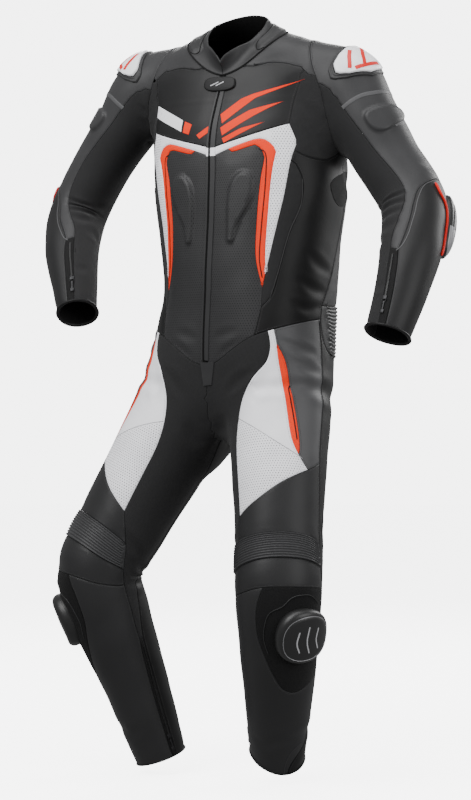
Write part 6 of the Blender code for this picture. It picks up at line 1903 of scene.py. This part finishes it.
def makeCollar(suit, sheet):
    # a soft stand collar: outside, rolled rim and black inside, open at the front
    ids = collarRing(suit, sheet)
    base = suit.points[ids]
    angle = sheet.surface.chart.back(np.array([suit.world.points[g] for g in ids]))[:, 0] % 360
    angle[0], angle[-1] = 0, 360
    rim = smoothRows(rimRows + [(360 - a, z, r) for a, z, r in rimRows[-2::-1]], angle)
    a = np.radians(angle)
    top = np.column_stack([rim[:, 1]*np.sin(a), -rim[:, 1]*np.cos(a), rim[:, 0]])
    off = np.minimum(angle, 360 - angle)
    parts = np.array([0, .025, .055, .09, .13, .18, .24, .30, .37, .44, .51, .58, .64, .69, .74,
                      .79, .85, .92, 1.0])
    out = unit((base + top)*np.array([1, 1, 0]))
    grid = np.array([base + (top - base)*f - out*collarBand["bow"]*sin(pi*f) for f in parts])
    normal = unit(np.cross(np.gradient(grid, axis=1), np.gradient(grid, axis=0)))
    normal = np.where((normal*out).sum(2)[..., None] < 0, -normal, normal)
    up = unit(np.gradient(grid, axis=0))
    inner = grid.copy()
    tall = np.linalg.norm(top - base, axis=1)
    part = parts[:, None] + 0*off[None]
    rise = (collarBand["over"]*np.minimum(part/0.04, 1)*np.exp(-np.maximum(part - 0.04, 0)/0.30)
            + stripRise(off[None], part, tall[None]))
    rise[0] = rise[-1] = 0
    grid = outer = grid + normal*rise[..., None]
    rows = [grid[0] - normal[0]*cloth["dip"]] + list(grid[1:])
    half = collarWall/2
    middle = grid[-1] - normal[-1]*half
    for t in np.linspace(0.12, 0.88, 5)*pi:
        rows.append(middle + half*(collarBand["roll"]*sin(t)*up[-1] + cos(t)*normal[-1]))
    outside = len(parts) + 3
    rows += [inner[k] - normal[k]*collarWall for k in range(len(parts))[::-2]]
    rows += [inner[0] - normal[0]*(collarWall + 0.001) - up[0]*d for d in (0.001, 0.003)]
    grid = np.array(rows)
    grid[:, 0] += (grid[:, 1] - grid[:, 0])*0.35
    grid[:, -1] += (grid[:, -2] - grid[:, -1])*0.35
    height, count = grid.shape[:2]
    faces = [(k*count + j, k*count + j + 1, (k + 1)*count + j + 1, (k + 1)*count + j)
             for k in range(height - 1) for j in range(count - 1)]
    ends = [tuple(k*count for k in range(height)),
            tuple(k*count + count - 1 for k in range(height))[::-1]]
    mesh = bpy.data.meshes.new("collar_cloth")
    mesh.from_pydata(grid.reshape(-1, 3).tolist(), [], faces + ends)
    if mesh.polygons[0].normal.dot(Vector(normal[0, 0])) < 0:
        mesh.flip_normals()
    # the collar's outside takes its own darker copy of the charcoal leather from the table of
    # painted light and shade
    mesh.materials.append(finishes["collar"])
    mesh.materials.append(finishes["lining"])
    for k, face in enumerate(mesh.polygons):
        face.material_index = 0 if k < outside*(count - 1) or k >= len(faces) else 1
    mesh.uv_layers.new(name="flat")
    mesh.shade_smooth()
    mesh.set_sharp_from_angle(angle=radians(60))
    thing = linkObject("collar_cloth", mesh)
    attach(thing, "suit")
    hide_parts("collar")
    # dark cords in the seam round the collar's foot and round the sewn-on band: near-black lines
    # that paint the shade in these grooves
    cord("collar_seam_shade_cord", base + normal[0]*collarBand["cordOut"],
         unit(np.gradient(base, axis=0)),
         normal[0], collarBand["cord"], "black grip")
    shaped = smoothRows([(k, o, p) for k, (o, p) in enumerate(stripLine)],
                        np.linspace(0, len(stripLine) - 1, 70))
    for side in ("left", "right"):
        turn = shaped[:, 0] if side == "left" else 360 - shaped[:, 0]
        column = np.interp(turn, angle, np.arange(len(angle)))
        row = np.interp(shaped[:, 1], parts, np.arange(len(parts)))
        k, j = row.astype(int), column.astype(int)
        k, j = np.minimum(k, len(parts) - 2), np.minimum(j, len(angle) - 2)
        f, g = (row - k)[:, None], (column - j)[:, None]
        line = ((1 - f)*((1 - g)*outer[k, j] + g*outer[k, j + 1])
                + f*((1 - g)*outer[k + 1, j] + g*outer[k + 1, j + 1]))
        cord("collar_band_cord_" + side, line, unit(np.gradient(line, axis=0)), normal[k, j],
             0.0010, "black grip")
    print("collar", len(mesh.polygons))


# sewn-on pieces
sewn = {"step": 0.004, "clear": 0.0022, "tuck": 0.0005, "foot": 0.0004}   # sewn-on pieces


def patch(name, suit, surface, outline, finish, height=0.0005, smooth=True):
    # a thin piece of leather sewn on, cut to an outline on the chart
    flat = surface.flat
    if smooth:
        loop = flat(smoothLine(outline, surface, sewn["step"], True))
    else:
        loop = []
        pts = flat(np.array(outline, float))
        for a, b in zip(pts, np.roll(pts, -1, 0)):
            n = max(1, int(np.linalg.norm(b - a)/sewn["step"]))
            loop += [a + (b - a)*k/n for k in range(n)]
        loop = np.array(loop)
    count = len(loop)
    low, high = loop.min(0), loop.max(0)
    xs, ys = np.meshgrid(*(np.arange(low[k], high[k], sewn["step"]) for k in range(2)))
    free = np.column_stack([xs.ravel(), ys.ravel()])
    a, b = loop, np.roll(loop, -1, 0)
    d = b - a
    s = np.clip(((free[:, None] - a)*d).sum(2)/np.maximum((d*d).sum(1), 1e-12), 0, 1)
    gap = np.linalg.norm(a + s[:, :, None]*d - free[:, None], axis=2).min(1)
    pts = [Vector(p) for p in np.vstack([loop, free[gap > sewn["clear"]]])]
    edges = [(k, (k + 1) % count) for k in range(count)]
    verts, _, faces, src, _, _ = delaunay_2d_cdt(pts, edges, [], 1, 1e-6)
    xy = np.array([(v.x, v.y) for v in verts])
    p, n = onCloth(suit, surface, surface.unflat(xy))
    faces = np.array([f for f in faces if len(f) == 3])
    a, b, c = (p[faces[:, k]] for k in range(3))
    if ((np.cross(b - a, c - a)*n[faces[:, 0]]).sum(1) < 0).mean() > 0.5:
        faces = faces[:, ::-1]
    border = borderOf(faces)
    rim = np.unique(border)
    way = inwardWays(p, n, border)
    top = p + n*height
    top[rim] += way[rim]*sewn["tuck"]
    foot = p - n*sewn["foot"]
    size = len(p)
    quads = np.column_stack([border[:, 1], border[:, 0], border[:, 0] + size,
                             border[:, 1] + size])
    mesh = bpy.data.meshes.new(name)
    mesh.from_pydata(np.vstack([top, foot]).tolist(), [],
                     faces.tolist() + (faces[:, ::-1] + size).tolist() + quads.tolist())
    layer = mesh.uv_layers.new(name="flat")
    corner = np.concatenate([faces.ravel(), faces[:, ::-1].ravel(),
                             (quads % size).ravel()])
    layer.data.foreach_set("uv", xy[corner].astype(np.float32).ravel())
    mesh.shade_smooth()
    mesh.set_sharp_from_angle(angle=radians(50))
    mesh.materials.append(finishes[finish])
    thing = linkObject(name, mesh)
    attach(thing, "suit")
    print("patch", name, len(mesh.polygons))
    return thing


torsoCreases = [
    # chart points, depth, width
    ([(14, -.505), (24, -.490), (38, -.470)], 0.0022, 0.007),
    ([(8, -.470), (18, -.462), (30, -.452)], 0.0014, 0.008),
    ([(62, -.395), (76, -.412), (92, -.405)], 0.0022, 0.008),
    ([(66, -.350), (80, -.372), (96, -.378)], 0.0018, 0.009),
    ([(72, -.300), (84, -.325), (100, -.340)], 0.0014, 0.010),
    ([(70, -.010), (76, -.045), (80, -.090)], 0.0024, 0.009),
    ([(66, -.030), (70, -.070), (74, -.105)], 0.0020, 0.008),
    ([(72, .050), (74, .015), (76, -.020)], 0.0016, 0.009),
    ([(100, -.110), (112, -.150), (128, -.180)], 0.0030, 0.012),
    ([(104, -.060), (118, -.100), (136, -.120)], 0.0026, 0.012),
    ([(140, -.340), (158, -.352), (176, -.346)], 0.0020, 0.010),
]
armCreases = [
    ([(-50, .352), (-18, .366), (12, .362)], 0.0030, 0.008),
    ([(-62, .378), (-30, .388), (4, .392)], 0.0038, 0.008),
    ([(-70, .405), (-34, .412), (-4, .410)], 0.0032, 0.008),
    ([(-60, .438), (-36, .440), (-14, .432)], 0.0024, 0.009),
    ([(-100, .330), (-76, .345), (-52, .350)], 0.0022, 0.010),
    ([(-95, .470), (-76, .462), (-52, .468)], 0.0018, 0.010),
    ([(-80, .075), (-50, .095), (-24, .098)], 0.0030, 0.010),
    ([(-84, .120), (-58, .130), (-34, .126)], 0.0024, 0.010),
    ([(-120, .100), (-150, .118), (-170, .110)], 0.0030, 0.012),
    ([(-60, .560), (-40, .568), (-24, .562)], 0.0014, 0.008),
    ([(60, .300), (84, .312), (104, .304)], 0.0014, 0.008),
    ([(150, .560), (180, .566), (210, .558)], 0.0018, 0.010),
]
legCreases = [
    ([(-4, .215), (-24, .236), (-44, .262)], 0.0030, 0.009),
    ([(12, .222), (-4, .256), (-18, .300)], 0.0022, 0.010),
    ([(30, .160), (48, .182), (70, .190)], 0.0024, 0.009),
    ([(36, .205), (54, .225), (76, .232)], 0.0018, 0.010),
    ([(-60, .300), (-78, .322), (-98, .332)], 0.0026, 0.011),
    ([(-70, .545), (-92, .560), (-116, .572)], 0.0026, 0.009),
    ([(-118, .590), (-146, .604), (-176, .606)], 0.0030, 0.011),
    ([(-116, .628), (-144, .634), (-170, .640)], 0.0032, 0.011),
    ([(-112, .662), (-138, .664), (-162, .672)], 0.0026, 0.011),
    ([(178, .598), (150, .612), (118, .610)], 0.0030, 0.011),
    ([(178, .645), (146, .650), (112, .640)], 0.0030, 0.011),
    ([(64, .520), (74, .548), (80, .580)], 0.0022, 0.007),
    ([(70, .500), (84, .530), (92, .566)], 0.0026, 0.008),
    ([(92, .560), (102, .590), (104, .622)], 0.0024, 0.008),
    ([(150, .250), (168, .262), (-172, .258)], 0.0034, 0.014),
    ([(130, .930), (160, .940), (-170, .934)], 0.0020, 0.012),
    ([(-60, .940), (-30, .950), (0, .944)], 0.0012, 0.010),
]
sleeveBand = [(-6, .128), (27, .125), (59, .129), (109, .128)]
elbowPiping = [(69.5, .346), (74, .3625), (85, .374), (93, .386), (97, .402), (98, .425),
               (99, .450), (97, .470)]
elbowSeam = [(70, .341), (43.5, .355), (24.6, .389), (15.4, .428), (8, .460), (-2.6, .486),
             (-13.3, .497)]
padStrip = [(59, .2045), (77, .202), (100, .195)]
thighSeam = [(-40, .323), (-1, .375), (32, .409)]
kneeGripLine = [(-20, .745), (-26, .715), (-24, .690), (-17, .672), (0, .663), (12, .653),
                (26, .650), (42, .652), (58, .665)]
thighLine = [(27.8, .260), (25.6, .271), (25.3, .305), (25.9, .341), (27.2, .374)]
hemGore = [(44.8, .954), (23.9, .964), (10.9, .991), (7.9, 1.02)]
underarm = [(86.8, -.1636), (114.7, -.1349), (116.9, -.1885), (105.3, -.206), (94.6, -.2009)]
# tapering stripes over the chest: corners on the torso's chart
chestMarks = [
    [(-20.4, -.0676), (-9.3, -.0513), (-6.3, -.0616), (-16.6, -.0761)],
    [(2.3, -.0290), (36, .0150), (70.5, .0410), (40, .0030), (5.3, -.0480)],
    [(3.9, -.0560), (32, -.0235), (57.6, -.0076), (34, -.0370), (6.5, -.0725)],
    [(6.5, -.0775), (24, -.0590), (43, -.0480), (27, -.0665), (8.4, -.0870)],
]
crotchPatch = [(-5.5, -.516), (10.5, -.516), (8.0, -.560), (-2.5, -.562)]
chestBar = [(-69, .002), (-69.4, -.0204), (-36.3, -.0588), (-37.5, -.0358)]
chestBarEnd = [(-35.1, -.0382), (-34.6, -.0608), (-28.1, -.0659), (-26.9, -.0457)]
zipFacing = {"slit": -1.45, "wide": (1.5, 0.0110), "narrow": (-3.1, 0.0052), "height": 0.0018,
             "top": .090, "low": -.512, "white": (-.0955, -.1115)}


def everywhere(uv):
    return np.ones(len(uv))


def chevronHoles(uv):
    side = np.clip((np.where(uv[:, 0] > 0, uv[:, 0], -10 - uv[:, 0]) - 46)/1.0, 0, 1)
    return np.maximum(side, np.clip((-0.13 - uv[:, 1])/0.004, 0, 1))


def thighHoles(uv):
    line = np.interp(uv[:, 0], [-37, -1, 30], [.327, .375, .407])
    return np.clip((uv[:, 1] - line)/0.004, 0, 1)


def makeSuit():
    form, world = Form(), World()
    torso = Surface(TorsoMap(form))
    signs = {"left": 1, "right": -1}
    arms = {s: Surface(LimbMap(form, form.arms[s], signs[s], armLength, armStart, -90,
                               [(0, .066), (.3, .066), (.645, .046)])) for s in signs}
    legs = {s: Surface(LimbMap(form, form.legs[s], signs[s], legLength, 0.0, -180,
                               [(0, .105), (.4, .102), (.6, .086), (1.02, .057)]))
            for s in signs}
    print("form measured")
    sheet, cuts, backRibs = cutTorso(world, torso, arms, legs)
    armSheets = {s: cutArm(world, arms[s], sheet, s) for s in signs}
    legSheets, kneeRibs = cutLegs(world, legs, sheet, cuts)
    sheets = [sheet] + list(armSheets.values()) + list(legSheets.values())
    for one in sheets:
        one.fill(one.step)
        one.triangulate()
        one.refine()
        print("chart", len(one.faces))
    suit = Suit(world, sheets)
    suit.add("front_zip", sheet, [(0, -.2)], "zip tape")
    suit.add("yoke", sheet, [(90, .15), (-90, .15)], "charcoal leather")
    suit.add("back", sheet, [(150, -.15), (-150, -.15)], "charcoal leather")
    suit.add("back_ribs", sheet, [(150, -.45), (-150, -.45)], "charcoal leather")
    for side, s in signs.items():
        for name, (seed, finish) in torsoPanels.items():
            suit.add(name + "_" + side, sheet, turnChest([(s*seed[0], seed[1])]), finish)
        for name, (seeds, finish) in sleevePanels.items():
            suit.add(name + "_" + side, armSheets[side], seeds, finish)
        for name, (seeds, finish) in legPanels.items():
            suit.add(name + "_" + side, legSheets[side], seeds, finish)
    print("panels", len(suit.panels))

    def torsoRise(uv):
        both = torsoCreases + [(otherSide(p, -1), d, w) for p, d, w in torsoCreases]
        rise = creaseRise(uv, both, torso) + backRibs.lift(uv)
        for s in signs.values():
            rise += padLift(turnChest(otherSide(frontPad, s)), torso, uv, 0.0060)
        return rise

    def armRise(side):
        return lambda uv: (creaseRise(uv, armCreases, arms[side])
                           + padLift(sleevePad, arms[side], uv, 0.0056))

    def legRise(side):
        return lambda uv: creaseRise(uv, legCreases, legs[side]) + kneeRibs.lift(uv)

    rises = [(sheet, torsoRise)]
    rises += [(armSheets[s], armRise(s)) for s in signs]
    rises += [(legSheets[s], legRise(s)) for s in signs]
    suit.shape(rises)
    print("cloth shaped", len(suit.points))
    for name in suit.panels:
        suit.make(name, {"chevron": chevronHoles, "thigh_white": thighHoles,
                         "front": everywhere}.get(name.rsplit("_", 1)[0]))
    makeStitches()
    makeCollar(suit, sheet)
    for side, s in signs.items():
        arm, leg = arms[side], legs[side]
        shoulderCup(side, arm)
        elbowSlider(side, arm)
        kneePuck(side, leg)
        zipPull("cuff_zip_pull_" + side, arm, (-15.0, .598), (-12.0, .630),
                "cuff_zip_pull_%s_body" % side)
        pull = calfPulls[side]
        zipPull("calf_zip_pull_" + side, leg, (-105.3, pull), (-105.0, pull + .030),
                "calf_zip_pull_%s_body" % side)
        zipTeeth("cuff_teeth_" + side, suit, arm, [(-19, .505), (-15, .588)])
        zipTeeth("calf_teeth_" + side, suit, leg, [(-113, .795), (-106, .90),
                                                   (-105.3, pull - .010)])
        band("sleeve_band_" + side, suit, arm, sleeveBand, 0.0080, 0.0006, "grey band")
        tube("elbow_piping_" + side, suit, arm, elbowPiping, 0.0027, "red leather")
        band("elbow_seam_" + side, suit, arm, elbowSeam, 0.0016, 0.0005, "grey band")
        edge = turnChest([(u*s, v) for u, v in torsoSeams["sideFront"][0][1:-1]])
        tube("side_piping_" + side, suit, torso, edge, 0.0009, "charcoal leather", 0.2)
        inner = [(38, -.1015), (42.2, -.111), (42.6, -.16), (41.3, -.25), (41.0, -.312),
                 (43.6, -.352)]
        band("stripe_line_" + side, suit, torso, turnChest([(u*s, v) for u, v in inner]),
             0.0022, 0.0004, "dark leather")
        tube("grip_line_" + side, suit, leg, kneeGripLine, 0.0008, "charcoal leather", 0.2, 6)
        band("thigh_line_" + side, suit, leg, thighLine, 0.0026, 0.0003, "dark leather")
        band("thigh_seam_" + side, suit, leg, thighSeam, 0.0012, 0.0003, "grey plastic")
        band("pad_strip_" + side, suit, arm, padStrip, 0.0050, 0.0006, "grey band")
        tube("cuff_rim_" + side, suit, arm,
             [(u, armLength - 0.0015) for u in range(-90, 271, 20)], 0.0027, "dark leather")
        tube("hem_rim_" + side, suit, leg, [(u, v - 0.0015) for u, v in hemLines[side]],
             0.0014, "dark leather")
        band("hem_gore_" + side, suit, leg, hemGore, 0.0020, 0.0005, "charcoal leather")
        patch("underarm_mesh_" + side, suit, torso, otherSide(underarm, s), "zip tape",
              0.0006)
    extras(suit, torso)
    collarTab(torso)
    return suit


def extras(suit, torso):
    stops = [v for v in zipStops if zipFacing["low"] < v < zipFacing["top"]]
    stops = [zipFacing["top"]] + stops + [zipFacing["low"]]
    slit, high = zipFacing["slit"], zipFacing["height"]
    # a raised near-black strip between the facings: the dark zip lies there, and the strip is
    # made darker than the zip tape as painted shade of the gap
    band("zip_slit_shade", suit, torso, turnChest([(slit, v) for v in stops]), 0.0044, high + 0.0005,
         "lining")
    for part in ("wide", "narrow"):
        u, width = zipFacing[part]
        facing = band("zip_facing_" + part, suit, torso, turnChest([(u, v) for v in stops]),
                      width, high, "charcoal leather")
        band("zip_facing_white_" + part, suit, torso,
             turnChest([(u, v) for v in zipFacing["white"]]), width, high + 0.0003,
             "white leather")
    flatPieces = [("crotch_patch", crotchPatch, "charcoal leather", 0.0018),
                  ("chest_bar", chestBar, "white leather", 0.0005),
                  ("chest_bar_end", chestBarEnd, "orange leather", 0.0005)]
    flatPieces += [("chest_mark_%d" % k, outline, "orange leather", 0.0004)
                   for k, outline in enumerate(chestMarks)]
    for name, outline, finish, height in flatPieces:
        patch(name, suit, torso, outline, finish, height, False)


makeSuit()


# studio
stage = {"azimuth": 26.0, "distance": 4.5, "middle": (-0.009, -0.72), "view": 1.6,
         "floor": -1.480, "world": 0.40, "backdrop": 5.0, "away": 12.0}


def areaLight(name, azimuth, elevation, distance, size, power, target=(0, 0, -0.7)):
    a, e = radians(azimuth), radians(elevation)
    way = Vector((sin(a)*cos(e), -cos(a)*cos(e), sin(e)))
    data = bpy.data.lights.new(name, "AREA")
    data.shape, data.size, data.energy = "DISK", size, power
    lamp = bpy.data.objects.new(name, data)
    lamp.location = Vector(target) + way*distance
    lamp.rotation_euler = way.to_track_quat("Z", "Y").to_euler()
    bpy.context.scene.collection.objects.link(lamp)


def putOnStage(thing, name, tone, rough):
    # a pale glow that only the camera sees
    thing.name = name
    mat, _, bsdf = newFinish(name, (tone, tone, tone), rough, 0.0, 0.0)
    bsdf.inputs["Emission Color"].default_value = (1, 1, 1, 1)
    bsdf.inputs["Emission Strength"].default_value = stage["backdrop"]
    thing.data.materials.append(mat)
    for ray in ("diffuse", "glossy", "transmission", "shadow", "volume_scatter"):
        setattr(thing, "visible_" + ray, False)


def makeStudio():
    a = radians(stage["azimuth"])
    look, side = Vector((-sin(a), cos(a), 0)), Vector((cos(a), sin(a), 0))
    across, height = stage["middle"]
    data = bpy.data.cameras.new("camera")
    data.lens = data.sensor_width*stage["distance"]/stage["view"]
    camera = bpy.data.objects.new("camera", data)
    camera.location = side*across + Vector((0, 0, height)) - look*stage["distance"]
    camera.rotation_euler = (pi/2, 0, a)
    bpy.context.scene.collection.objects.link(camera)
    bpy.context.scene.camera = camera
    areaLight("key", -18, 38, 3.6, 2.4, 120)
    areaLight("fill", 72, 12, 3.8, 2.6, 68)
    areaLight("top", 20, 78, 3.0, 2.4, 50)
    areaLight("rimLeft", 205, 28, 3.2, 1.8, 64)
    areaLight("rimRight", 150, 24, 3.2, 1.8, 58)
    world = bpy.data.worlds.new("studio")
    world.use_nodes = True
    back = world.node_tree.nodes["Background"]
    back.inputs["Color"].default_value = (1, 1, 1, 1)
    back.inputs["Strength"].default_value = stage["world"]
    bpy.context.scene.world = world
    bpy.ops.object.select_all(action="DESELECT")
    bpy.ops.mesh.primitive_uv_sphere_add(segments=48, ring_count=24, radius=stage["away"],
                                         location=(0, 0, stage["middle"][1]))
    putOnStage(bpy.context.object, "backdrop", 1.0, 1.0)
    bpy.ops.object.select_all(action="DESELECT")
    bpy.ops.mesh.primitive_plane_add(size=60, location=(0, 0, stage["floor"]))
    putOnStage(bpy.context.object, "floor", 0.90, 0.9)


makeStudio()
